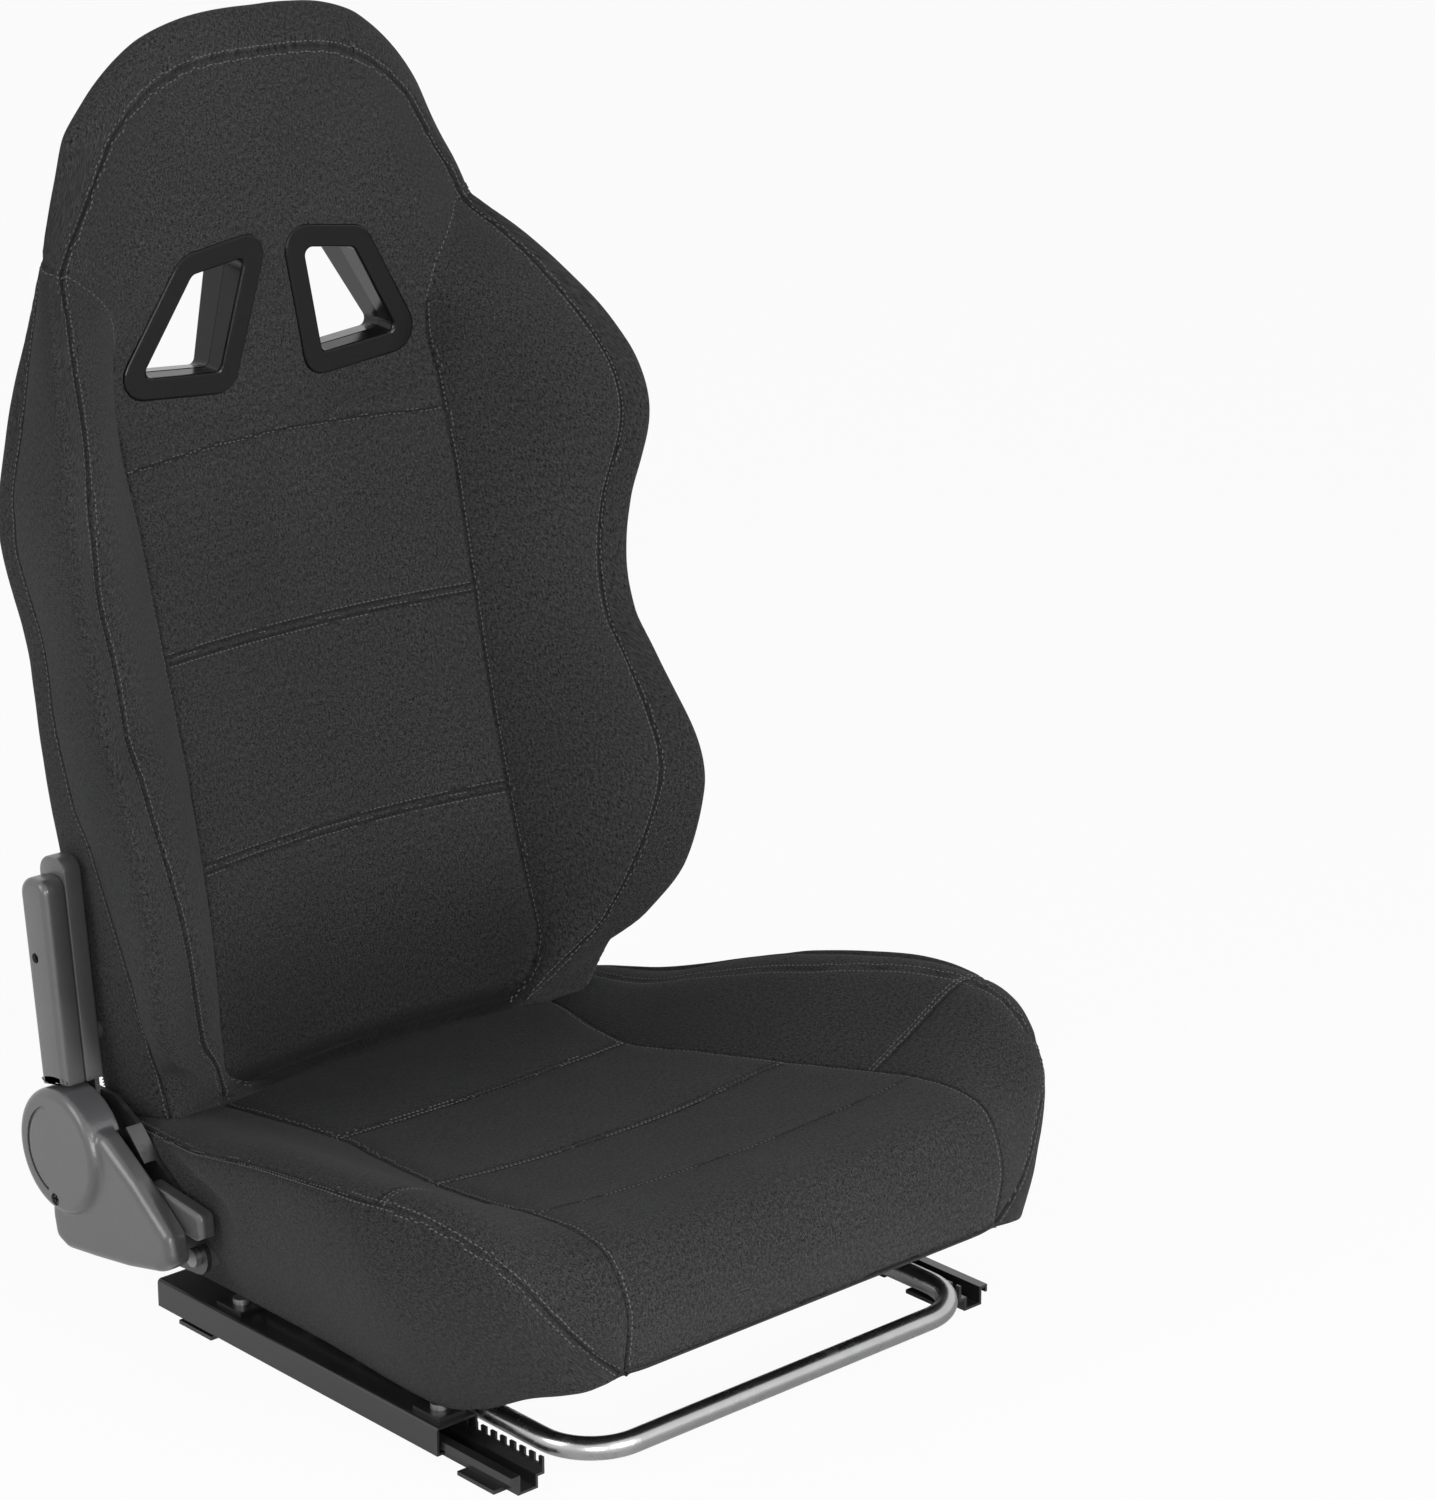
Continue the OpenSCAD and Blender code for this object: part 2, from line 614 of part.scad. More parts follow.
module cover_screw() {
  color(black_steel)
    difference() {
      union() {
        rod_x(-base_x - 3, -disc_face + 3.4, screw_at[0], screw_at[1], 4.5);
        rod_x(-disc_face + 3.4, -disc_face + 0.6, screw_at[0], screw_at[1], 9);
      }
      for (a = [0, 90])
        translate([-disc_face - 0.5, screw_at[0], screw_at[1]])
          rotate([a, 0, 0])
            cube([5, 1.4, 6], center = true);
    }
}

// ================= lever =================
tooth_h = 3;
sector_a0 = 228;
sector_a1 = 322;
pad_a0 = 234;
pad_a1 = 258;
// toothed outline about the pivot; out moves the teeth outwards, widen makes them broader
function ratchet(a0, a1, out, widen) =
  let (n = floor((a1 - a0) / tooth_step), r = sector_r + out)
  [for (i = [0 : n - 1])
    each [
      for (k = [[-tooth_h, 0.2 - widen], [0, 0.36 - widen], [0, 0.64 + widen], [-tooth_h, 0.8 + widen]])
        let (a = a0 + tooth_step * (i + k[1])) pivot + (r + k[0]) * [cos(a), sin(a)]
    ]];
module lever_plate() {
  color(bare_steel)
    difference() {
      union() {
        plate_x(-arm_x - 0.3, -lever_x)
          polygon(concat(
            circle_pts(pivot, sector_r + 0.4, pad_a0, pad_a1, 8),
            circle_pts(pivot, sector_r + 14, pad_a1, pad_a0, 8)
          ));
        plate_x(-lever_x, -lever_x - lever_t)
          polygon(concat(
            circle_pts(pivot, sector_r + 0.4, pad_a0, pad_a1, 8),
            circle_pts(pivot, sector_r + 14, pad_a1, pad_a0, 8),
            circle_pts(lever_pivot, 11, 290, 235, 5),
            [[184, 102], [128, 105], [124, 112], [128, 115], [178, 120]],
            circle_pts(lever_pivot, 11, 100, 60, 4)
          ));
      }
      plate_x(-arm_x, -lever_x - lever_t - 1)
        polygon(concat(ratchet(pad_a0 - 6, pad_a1 + 6, tooth_h + 0.4, 0.05), [pivot]));
      rod_x(-arm_x, -lever_x - lever_t - 1, lever_pivot[0], lever_pivot[1], lever_pin_d + 2 * pin_gap);
    }
}
grip_in = 254.2;
grip_out = 267.5;
grip_pts = [[109, 122], [108, 104], [117, 99], [172, 106], [185, 112], [186, 120], [173, 128]];
module lever_grip() {
  rings = [for (e = edge_steps(4)) rounded(inset(grip_pts, e[1]), [for (p = grip_pts) 4], 3)];
  inner = [for (e = edge_steps(2.5)) rounded(inset(grip_pts, e[1]), [for (p = grip_pts) 4], 3)];
  color(black_plastic)
    difference() {
      moulding(inner, rings, grip_in, grip_out, 2.5, 4, [146, 113]);
      // slot for the steel plate
      plate_x(-lever_x + 0.05, -lever_x - lever_t - 0.05)
        polygon([[123, 103], [123, 116], [178, 121], [192, 124], [192, 98]]);
    }
}
module lever_pin() {
  color(bare_steel) {
    rod_x(-base_x + 0.05, -lever_x - lever_t - 0.6, lever_pivot[0], lever_pivot[1], lever_pin_d);
    rod_x(-base_x + 2, -base_x + 0.05, lever_pivot[0], lever_pivot[1], lever_pin_d + 4);
    rod_x(-lever_x - lever_t - 0.1, -lever_x - lever_t - 2.4, lever_pivot[0], lever_pivot[1], lever_pin_d + 4);
  }
}

// ================= hinge, left side =================
hinge_t = 3.7;
hinge_x = ear_x - hinge_t - 0.2;
hinge_arm_x = hinge_x + hinge_t + 0.5;
hinge_pin_d = 12;
module hinge_plate() {
  color(black_steel)
    difference() {
      plate_x(hinge_x, hinge_x + hinge_t)
        polygon(concat(
          circle_pts(pivot, 15, -50, 140, 10),
          [[208, 92], [168, 84], [168, 54], [224, 54], [238, 84]]
        ));
      rod_x(hinge_x - 1, hinge_x + hinge_t + 1, pivot_y, pivot_z, hinge_pin_d + 2 * pin_gap);
      for (b = hinge_bolt_pts)
        rod_x(hinge_x - 1, hinge_x + hinge_t + 1, b[0], b[1], bolt_d + 2 * pin_gap);
    }
}
module hinge_bolts() {
  color(bare_steel)
    for (b = hinge_bolt_pts) {
      rod_x(hinge_x - 1, ear_x + ear_t + 1, b[0], b[1], bolt_d);
      rod_x(hinge_x - 5, hinge_x - 0.1, b[0], b[1], 13);
      rod_x(ear_x + ear_t + 0.1, ear_x + ear_t + 4, b[0], b[1], 13);
    }
}
module pivot_pin_left() {
  x1 = hinge_arm_x + hinge_t;
  color(bare_steel) {
    rod_x(hinge_x - 0.4, x1 + 0.4, pivot_y, pivot_z, hinge_pin_d);
    rod_x(hinge_x - 2.4, hinge_x - 0.2, pivot_y, pivot_z, hinge_pin_d + 4);
    rod_x(x1 + 0.2, x1 + 2.4, pivot_y, pivot_z, hinge_pin_d + 4);
  }
}
module pivot_pin_right() {
  color(bare_steel) {
    rod_x(-base_x + 2.4, -base_x + 0.1, pivot_y, pivot_z, pin_d + 6);
    rod_x(-base_x + 0.2, -lever_x - lever_t - 9, pivot_y, pivot_z, pin_d);
    rod_x(-arm_out - 0.2, -arm_out - 2.2, pivot_y, pivot_z, pin_d + 6);
  }
}

// ================= backrest arms and covers =================
arm_bolt_pts = [[268, 216], [284, 300]];
back_plate_x = back_tube_x + back_tube_d / 2;
back_plate_t = 3.5;
arm_spacer_d = 16;
arm_pts = [[270, 140], [297, 318], [292, 334], [274, 334], [268, 322], [246, 140]];
module arm_bores(x0, x1) {
  for (b = arm_bolt_pts)
    rod_x(x0, x1, b[0], b[1], bolt_d + 2 * pin_gap);
}
module recliner_arm() {
  color(bare_steel)
    difference() {
      union() {
        plate_x(-arm_x, -arm_out)
          union() {
            polygon(arm_pts);
            polygon(concat(circle_pts(pivot, sector_r - tooth_h, 0, 350, 35)));
            polygon(concat(ratchet(sector_a0, sector_a1, 0, 0), [pivot]));
          }
        // post that the spring pulls on
        rod_x(-arm_out + 1, -lever_x - lever_t - 9, pivot_y + 17, pivot_z + 31, 6);
      }
      rod_x(-arm_x + 1, -arm_out - 1, pivot_y, pivot_z, pin_d + 2 * pin_gap);
      arm_bores(-arm_x + 1, -arm_out - 1);
    }
}
cover_split = 266;
cover_inner = 249.3;
arm_cover_face = cover_split + 19;
cover_corners = [[252.5, 185], [271, 354.5], [301, 352], [282, 185]];
arc_r = disc_r + 2.3;
// where the line from a towards b meets the circle of radius r about the pivot
function meet(a, b, r) =
  let (u = (b - a) / norm(b - a), w = a - pivot, h = w * u, q = h * h - w * w + r * r)
  a - u * (h + sqrt(q));
function cover_ring(d) =
  let (
    c = inset(cover_corners, -d), r = arc_r + d,
    p = rounded([c[0], c[1], c[2], c[3]], [1, 9 - 0.5 * d, 14 - 0.5 * d, 1], 6),
    top = [for (i = [len(p) - 8 : -1 : 7]) p[i]],
    f = meet(c[1], c[0], r), b = meet(c[2], c[3], r),
    af = atan2(f[1] - pivot[1], f[0] - pivot[0]), ab = atan2(b[1] - pivot[1], b[0] - pivot[0])
  )
  concat(circle_pts(pivot, r, af, ab, 8), top);
module cover_block(a, b, ea, eb) {
  ra = [for (e = edge_steps(ea)) cover_ring(e[1])];
  rb = [for (e = edge_steps(eb)) cover_ring(e[1])];
  moulding(ra, rb, a, b, ea, eb, [275, 270]);
}
arm_screw = [281, 279];
module arm_cover_outer() {
  color(black_plastic)
    difference() {
      cover_block(cover_split, arm_cover_face, 0.4, 4);
      difference() {
        plate_x(-cover_split + 1, -arm_cover_face + wall)
          polygon(cover_ring(wall));
        rod_x(-cover_split + 1, -arm_cover_face, arm_screw[0], arm_screw[1], 11);
      }
      rod_x(-arm_cover_face + 1.6, -arm_cover_face - 1, arm_screw[0], arm_screw[1], 6);
    }
}
module arm_cover_inner() {
  color(black_plastic)
    difference() {
      cover_block(cover_inner, cover_split - 0.1, 2.5, 0.4);
      plate_x(-arm_x + 0.3, -cover_split - 1)
        polygon(inset(arm_pts, -0.4));
      for (b = arm_bolt_pts)
        rod_x(-cover_inner + 2, -cover_split - 1, b[0], b[1], arm_spacer_d + 0.6);
    }
}
module arm_bolts() {
  bx = back_plate_x + back_plate_t;
  color(bare_steel)
    for (b = arm_bolt_pts) {
      rod_x(-bx - 0.1, -arm_x + 0.1, b[0], b[1], arm_spacer_d);
      rod_x(-bx + back_plate_t - 0.5, -arm_out - 1, b[0], b[1], bolt_d);
      rod_x(-arm_out - 0.1, -arm_out - 5, b[0], b[1], 13);
      rod_x(bx + 0.1, hinge_arm_x - 0.1, b[0], b[1], arm_spacer_d);
      rod_x(bx - back_plate_t + 0.5, hinge_arm_x + hinge_t + 1, b[0], b[1], bolt_d);
      rod_x(hinge_arm_x + hinge_t + 0.1, hinge_arm_x + hinge_t + 4, b[0], b[1], 13);
    }
}
module hinge_arm() {
  color(black_steel)
    difference() {
      plate_x(hinge_arm_x, hinge_arm_x + hinge_t)
        polygon(concat(
          circle_pts(pivot, 14, 170, 350, 10),
          [[282, 212], [298, 306], [290, 316], [276, 316], [258, 232], [246, 170]]
        ));
      rod_x(hinge_arm_x - 1, hinge_arm_x + hinge_t + 1, pivot_y, pivot_z, hinge_pin_d + 2 * pin_gap);
      arm_bores(hinge_arm_x - 1, hinge_arm_x + hinge_t + 1);
    }
}

// ================= back frame =================
back_path = [[back_tube_x, 252, 178], [back_tube_x, 337, 560], [158, 368, 812]];
cross_low = [back_tube_x, 255, 191];
cross_mid = [back_tube_x - 1, 333, 540];
module back_tubes(d) {
  both_sides()
    rod_path(back_path, d);
  both_sides()
    translate(back_path[2])
      sphere(d = d + 0.04);
  rod_x(-back_path[2][0], back_path[2][0], back_path[2][1], back_path[2][2], d);
  for (c = [cross_low, cross_mid])
    rod_x(-c[0], c[0], c[1], c[2], d - 1);
}
// room for the tubes inside the foam: each run reaches a little past its ends
module back_tube_room(d) {
  both_sides()
    for (i = [0, 1]) {
      a = back_path[i];
      b = back_path[i + 1];
      v = (b - a) / norm(b - a) * (back_tube_d / 2 + 1);
      rod_path([a - v, b + v], d + 0.4 * i);
    }
  rod_x(-back_path[2][0] - 10, back_path[2][0] + 10, back_path[2][1], back_path[2][2], d + 0.8);
  for (c = [cross_low, cross_mid])
    rod_x(-c[0], c[0], c[1], c[2], d + 0.2);
}
function back_plate_pts(g) = [[246 - g, 192 - g], [284 + g, 192 - g], [306 + g, 322 + g], [274 - g, 322 + g]];
module back_frame() {
  color(black_steel)
    difference() {
      union() {
        back_tubes(back_tube_d);
        both_sides()
          plate_x(back_plate_x - 0.5, back_plate_x + back_plate_t)
            polygon(back_plate_pts(0));
      }
      arm_bores(-back_plate_x - 6, -back_plate_x + 2);
      arm_bores(back_plate_x + 6, back_plate_x - 2);
    }
}

// ================= back cushion =================
// each curve is [height, value]
bk_mid_y = [[152, 236], [314, 266], [612, 335], [656, 348], [720, 346], [785, 341], [861, 341]];
bk_in_x = [[152, 162], [256, 151], [389, 147], [617, 151], [700, 151], [740, 156], [861, 110]];
bk_in_y = [[152, 226], [182, 222], [572, 313], [617, 327], [662, 338], [734, 339], [789, 338], [861, 347]];
bk_seam_x = [
  [152, 166], [182, 176], [214, 200], [314, 228], [357, 234], [487, 230], [612, 251], [673, 240], [753, 205],
  [831, 155], [861, 139]
];
bk_seam_y = [
  [152, 216], [214, 190], [314, 168], [357, 175], [422, 211], [452, 231], [538, 245], [612, 235], [673, 253],
  [789, 340], [861, 350]
];
bk_full = [[152, 8], [182, 14], [214, 32], [256, 42], [422, 23], [612, 21], [711, 18], [789, 6], [861, 5]];
bk_side_x = [[152, 224], [182, 226], [214, 236], [314, 247], [487, 245], [612, 268], [673, 251], [831, 175], [861, 163]];
bk_side_y = [
  [152, 204], [256, 217], [357, 257], [389, 281], [452, 305], [572, 316], [612, 312], [673, 318], [789, 358],
  [861, 367]
];
bk_edge_x = [[152, 234], [389, 240], [487, 239], [572, 256], [612, 259], [673, 243], [753, 207], [831, 176], [861, 166]];
bk_edge_y = [[152, 252], [214, 274], [487, 340], [648, 342], [753, 358], [861, 378]];
bk_rear_x = [[152, 234], [314, 223], [711, 182], [831, 166], [861, 157]];
bk_rear_y = [[100, 260], [145, 270], [339, 313], [487, 346], [600, 371], [700, 383], [800, 390], [900, 392], [960, 392]];
bk_rise = [[0, 54], [0.2, 70], [0.38, 82], [0.56, 84], [0.82, 74], [1, 50]];
bk_low = 152;
bk_high = 861;
bk_split = 0.6;
// sewn channels across the middle panel: heights, half width and depth
bk_tucks = [322, 478];
tuck_half = 9;
tuck_deep = 4;
function bk_tuck(a, z) =
  a >= bk_split ? 0 : tuck_deep * max([for (c = bk_tucks) max(0, 1 - abs(z - c) / tuck_half)]);
// the six lines that the side is drawn through at one height
function bk_side_knots(z) =
  let (
    b = [curve(bk_seam_x, z), curve(bk_seam_y, z)], o = curve(bk_full, z),
    k = b + o * [0.739, -0.674] + (0.35 * o + 4) * [0.674, 0.739],
    a = [curve(bk_side_x, z), curve(bk_side_y, z)]
  )
  [[0, b], [0.2, k], [0.38, (k + a) / 2 + [0.12 * o + 2, 0]], [0.56, a],
   [0.82, [curve(bk_edge_x, z), curve(bk_edge_y, z)]], [1, [curve(bk_rear_x, z), curve(bk_rear_y, z)]]];
// u runs across from -1 to 1, v from the front seam (0) to the rear (1), z is the height
function bk_point(u, v, z) =
  let (
    k = bk_side_knots(z), q = curve(k, v), b = k[0][1], r = k[5][1], a = abs(u),
    sx = b[0], ix = curve(bk_in_x, z), my = curve(bk_mid_y, z), iy = curve(bk_in_y, z),
    plain = a < bk_split ? a / bk_split * ix / sx : ix / sx + (a - bk_split) / (1 - bk_split) * (1 - ix / sx),
    blend = smooth(640, 861, z), f = v > 0 ? a : plain * (1 - blend) + a * blend,
    up = pow(smooth(700, 861, z), 1.5), p = max(a - bk_split, 0) / (1 - bk_split),
    low = a < bk_split
      ? my + (iy - my) * pow(a / bk_split, 2)
      : iy + (b[1] - iy) * pow(sin(90 * p), 1.15),
    high = my + (b[1] - my) * pow(f, 2.2), t = smooth(690, 790, z),
    front = low * (1 - t) + high * t + smooth(790, 861, z) * 12 * (1 - f * f) + bk_tuck(a, z),
    back = r[1] + 3 * (1 - f * f), rim = pow(a, 8),
    y = v == 0 ? front : (v == 1 ? back : (front + (back - front) * v * v) * (1 - rim) + q[1] * rim)
  )
  [sign(u) * q[0] * f, y, z - 7 * v * smooth(200, 152, z) + curve(bk_rise, v) * (1 - pow(f, 2.9)) * up];
bk_us = [-1, -0.95, -0.86, -0.74, -0.6, -0.36, -0.12, 0.12, 0.36, 0.6, 0.74, 0.86, 0.95, 1];
bk_vs = [0, 0.1, 0.2, 0.38, 0.56, 0.7, 0.82, 1];
bk_zs = [
  152, 182, 214, 256, 313, 322, 331, 357, 389, 422, 446, 469, 478, 487, 538, 572, 617, 648, 676, 711, 740, 765,
  789, 810, 831, 848, 861
];
module back_skin() {
  nu = len(bk_us);
  nv = len(bk_vs);
  n = 2 * (nu - 1) + 2 * (nv - 1);
  // place in the ring of grid point i across and j through
  function at(i, j) =
    j == 0 ? i : (i == nu - 1 ? nu - 1 + j : (j == nv - 1 ? nu + nv - 2 + nu - 1 - i : n - j));
  function ring(z) = concat(
    [for (i = [0 : nu - 1]) bk_point(bk_us[i], 0, z)],
    [for (j = [1 : nv - 1]) bk_point(1, bk_vs[j], z)],
    [for (i = [nu - 2 : -1 : 0]) bk_point(bk_us[i], 1, z)],
    [for (j = [nv - 2 : -1 : 1]) bk_point(-1, bk_vs[j], z)]
  );
  function lid(z) = [for (j = [1 : nv - 2]) for (i = [1 : nu - 2]) bk_point(bk_us[i], bk_vs[j], z)];
  m = len(bk_zs);
  top0 = m * n;
  low0 = top0 + (nu - 2) * (nv - 2);
  function id(i, j, rim, inner) =
    (i == 0 || i == nu - 1 || j == 0 || j == nv - 1) ? rim + at(i, j) : inner + (j - 1) * (nu - 2) + i - 1;
  function cells(rim, inner, up) = [
    for (j = [0 : nv - 2]) for (i = [0 : nu - 2])
      let (
        a = id(i, j, rim, inner), b = id(i + 1, j, rim, inner),
        c = id(i + 1, j + 1, rim, inner), d = id(i, j + 1, rim, inner)
      )
      each (up ? [[a, c, b], [a, d, c]] : [[a, b, c], [a, c, d]])
  ];
  walls = [
    for (k = [0 : m - 2]) for (i = [0 : n - 1])
      let (a = k * n + i, b = k * n + (i + 1) % n)
      each [[a, a + n, b], [b, a + n, b + n]]
  ];
  polyhedron(
    concat([for (z = bk_zs) each ring(z)], lid(bk_high), lid(bk_low)),
    concat(walls, cells((m - 1) * n, top0, true), cells(0, low0, false)),
    convexity = 8
  );
}
module back_cushion() {
  g = foam_gap;
  color(cloth)
    difference() {
      back_skin();
      back_tube_room(back_tube_d + 2 * g);
      both_sides()
        plate_x(back_plate_x - 1, back_plate_x + back_plate_t + g)
          polygon(back_plate_pts(g));
      // left arm with its spacers and bolt heads; the gap below clears the hinge plate
      plate_x(hinge_arm_x - g, hinge_arm_x + hinge_t + g)
        polygon([
          [240, 100], [290, 100], [284, 200], [299, 305], [291, 317], [275, 317], [257, 232], [243, 170]
        ]);
      rod_x(hinge_x - 3, hinge_arm_x + hinge_t + 3, pivot_y, pivot_z, 36);
      for (b = arm_bolt_pts) {
        rod_x(back_plate_x, hinge_arm_x, b[0], b[1], arm_spacer_d + 2 * g);
        rod_x(back_plate_x, hinge_arm_x + hinge_t + 4.4, b[0], b[1], 14);
        rod_x(-back_plate_x, -300, b[0], b[1], arm_spacer_d + 2 * g);
        for (s = [-1, 1])
          rod_x(s * (back_plate_x - 6), s * back_plate_x, b[0], b[1], 14);
      }
      both_sides() {
        bezel_place(false)
          bezel_hole(30);
        bezel_place(true)
          bezel_hole(32);
      }
    }
}

// ================= harness bezels =================
// corners of the flange in (x, z), seen from the front, on the +X side
flange_pts = [[4, 782], [35, 654.5], [152, 664.5], [87, 770]];
flange_radii = [18, 20, 20, 26];
sleeve_wall = 2.6;
edge_lip = 2.4;
sleeve_len = 30;
meet_y = 364.3;
function flange_ring(d) = rounded(inset(flange_pts, d), [for (r = flange_radii) max(r - d, 6)], 6);
front_mid = [0, 347, 720];
rear_mid = [0, 386, 720];
lean = 4.9;
// puts a bezel drawn with its back on y = 0, facing -Y, on the front or the rear of the cushion
module bezel_place(rear) {
  translate(rear ? rear_mid : front_mid)
    rotate([rear ? -lean : lean, 0, 0])
      translate([0, 0, -720])
        mirror([0, rear ? 1 : 0, 0])
          children();
}
module bezel_hole(depth) {
  plate_y(-34, depth)
    polygon(flange_ring(bezel_w - sleeve_wall - foam_gap));
  plate_y(-34, 0.1)
    polygon(flange_ring(-foam_gap));
}
module bezel() {
  w = bezel_w;
  rim = [for (e = edge_steps(edge_lip)) [for (p = flange_ring(e[1])) [p[0], -bezel_proud + e[0], p[1]]]];
  mouth = [for (e = edge_steps(edge_lip)) [for (p = flange_ring(w - e[1] + 0.6)) [p[0], -bezel_proud + e[0] - 0.1, p[1]]]];
  difference() {
    union() {
      ring_skin(concat([[for (p = flange_ring(0)) [p[0], -0.3, p[1]]]], rim),
        [80, -0.3, 720], [80, -bezel_proud, 720], true);
      plate_y(-1, sleeve_len)
        polygon(flange_ring(w - sleeve_wall));
    }
    plate_y(-bezel_proud - 1, sleeve_len + 1)
      polygon(flange_ring(w + 0.6));
    ring_skin(concat(mouth, [[for (p = flange_ring(w - 3)) [p[0], -bezel_proud - 0.5, p[1]]]]),
      [80, -bezel_proud + edge_lip - 0.1, 720], [80, -bezel_proud - 0.5, 720], true);
  }
}
// the sleeves of the front and rear bezel meet half way through the cushion
module placed_bezel(rear) {
  difference() {
    bezel_place(rear)
      bezel();
    translate([-10, rear ? meet_y + 0.15 - 80 : meet_y - 0.15, 600])
      cube([200, 80, 260]);
  }
}
module bezel_front_left() { color(black_plastic) placed_bezel(false); }
module bezel_front_right() { color(black_plastic) mirror([1, 0, 0]) placed_bezel(false); }
module bezel_rear_left() { color(black_plastic) placed_bezel(true); }
module bezel_rear_right() { color(black_plastic) mirror([1, 0, 0]) placed_bezel(true); }

lower_rail_left();
lower_rail_right();
upper_rail_left();
upper_rail_right();
rail_glides();
slide_bar();
latch_left();
latch_right();
bar_brackets();
bar_pins();
seat_frame();
seat_springs();
frame_bolts();
seat_cushion();
recliner_base();
recliner_bolts();
recline_spring();
lower_cover();
cover_screw();
lever_plate();
lever_grip();
lever_pin();
hinge_plate();
hinge_bolts();
pivot_pin_left();
pivot_pin_right();
recliner_arm();
arm_cover_inner();
arm_cover_outer();
arm_bolts();
hinge_arm();
back_frame();
back_cushion();
bezel_front_left();
bezel_front_right();
bezel_rear_left();
bezel_rear_right();
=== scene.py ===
import math

import bpy
import numpy as np
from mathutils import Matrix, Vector, noise
from mathutils.bvhtree import BVHTree


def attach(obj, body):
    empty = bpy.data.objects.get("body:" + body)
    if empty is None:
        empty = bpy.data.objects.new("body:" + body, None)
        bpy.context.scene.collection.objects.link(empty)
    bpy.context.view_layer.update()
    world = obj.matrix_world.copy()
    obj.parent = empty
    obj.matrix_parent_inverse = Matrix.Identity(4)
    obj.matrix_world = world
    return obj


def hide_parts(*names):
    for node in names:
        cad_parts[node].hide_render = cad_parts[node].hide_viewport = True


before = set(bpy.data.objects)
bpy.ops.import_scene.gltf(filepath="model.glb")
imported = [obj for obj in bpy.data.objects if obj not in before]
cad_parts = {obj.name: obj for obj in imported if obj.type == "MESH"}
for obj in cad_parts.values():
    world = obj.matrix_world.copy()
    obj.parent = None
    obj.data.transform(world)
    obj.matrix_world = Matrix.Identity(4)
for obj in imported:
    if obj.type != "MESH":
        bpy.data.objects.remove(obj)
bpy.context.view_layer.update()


# ---- curves
def through(xs, ys, where):
    """Smooth curve through the points (xs, ys), level beyond its ends.

    ys may hold one column for each point asked.
    """
    n = len(xs)
    low = np.maximum(np.arange(n) - 1, 0)
    high = np.minimum(np.arange(n) + 1, n - 1)
    run = xs[high] - xs[low]
    slope = (ys[high] - ys[low]) / (run if ys.ndim == 1 else run[:, None])
    i = np.clip(np.searchsorted(xs, where, side="left") - 1, 0, n - 2)
    h = xs[i + 1] - xs[i]
    s = np.clip((where - xs[i]) / h, 0, 1)
    if ys.ndim == 1:
        a, b, ta, tb = ys[i], ys[i + 1], slope[i], slope[i + 1]
    else:
        k = np.arange(where.size)
        a, b, ta, tb = ys[i, k], ys[i + 1, k], slope[i, k], slope[i + 1, k]
    s2 = s * s
    s3 = s2 * s
    ends = (2 * s3 - 3 * s2 + 1) * a + (3 * s2 - 2 * s3) * b
    return ends + ((s3 - 2 * s2 + s) * ta + (s3 - s2) * tb) * h


def curve(knots, where):
    k = np.array(knots, float)
    return through(k[:, 0], k[:, 1], where)


def smooth(a, b, t):
    """0 up to a, 1 from b on, and a smooth step between them."""
    s = np.clip((t - a) / (b - a), 0, 1)
    return s * s * (3 - 2 * s)


def unit(vectors):
    return vectors / np.maximum(np.linalg.norm(vectors, axis=-1, keepdims=True), 1e-9)


def to_segment(x, z, p, q):
    """Distance to the segment from p to q, and how far along it the nearest point lies."""
    run = np.array(q, float) - p
    t = np.clip(((x - p[0]) * run[0] + (z - p[1]) * run[1]) / max(run @ run, 1e-9), 0, 1)
    return np.hypot(x - p[0] - t * run[0], z - p[1] - t * run[1]), t


def marked(low, high, step, marks, fine):
    """Positions from low to high, step apart, and closer together round each mark."""
    base = np.linspace(low, high, int(round((high - low) / step)) + 1)
    near = [m + f for m in marks for f in fine if low < m + f < high]
    keep = [b for b in base if all(abs(b - m) > max(fine) + step * 0.35 for m in marks) or b in (low, high)]
    out = sorted(set(np.round(np.concatenate([keep, near]), 5)))
    slim = [out[0]]
    for x in out[1:]:
        if x - slim[-1] > step * 0.12:
            slim.append(x)
    slim[-1] = high
    return np.array(slim)


# ---- backrest form, in millimetres
MID_Y = [[152, 236], [314, 266], [612, 335], [656, 348], [720, 346], [785, 341], [861, 341]]
IN_X = [[152, 162], [256, 151], [389, 147], [617, 151], [700, 151], [740, 156], [861, 110]]
IN_Y = [[152, 226], [182, 222], [572, 313], [617, 327], [662, 338], [734, 339], [789, 338], [861, 347]]
SEAM_X = [
    [152, 166], [182, 176], [214, 200], [314, 228], [357, 234], [487, 230], [612, 251], [673, 240],
    [753, 205], [831, 155], [861, 139],
]
SEAM_Y = [
    [152, 216], [214, 190], [314, 168], [357, 175], [422, 211], [452, 231], [538, 245], [612, 235],
    [673, 253], [789, 340], [861, 350],
]
FULL = [[152, 8], [182, 14], [214, 32], [256, 42], [422, 23], [612, 21], [711, 18], [789, 6], [861, 5]]
SIDE_X = [
    [152, 224], [182, 226], [214, 236], [314, 247], [487, 245], [612, 268], [673, 251], [831, 175],
    [861, 163],
]
SIDE_Y = [
    [152, 204], [256, 217], [357, 257], [389, 281], [452, 305], [572, 316], [612, 312], [673, 318],
    [789, 358], [861, 367],
]
EDGE_X = [
    [152, 234], [389, 240], [487, 239], [572, 256], [612, 259], [673, 243], [753, 207], [831, 176],
    [861, 166],
]
EDGE_Y = [[152, 252], [214, 274], [487, 340], [648, 342], [753, 358], [861, 378]]
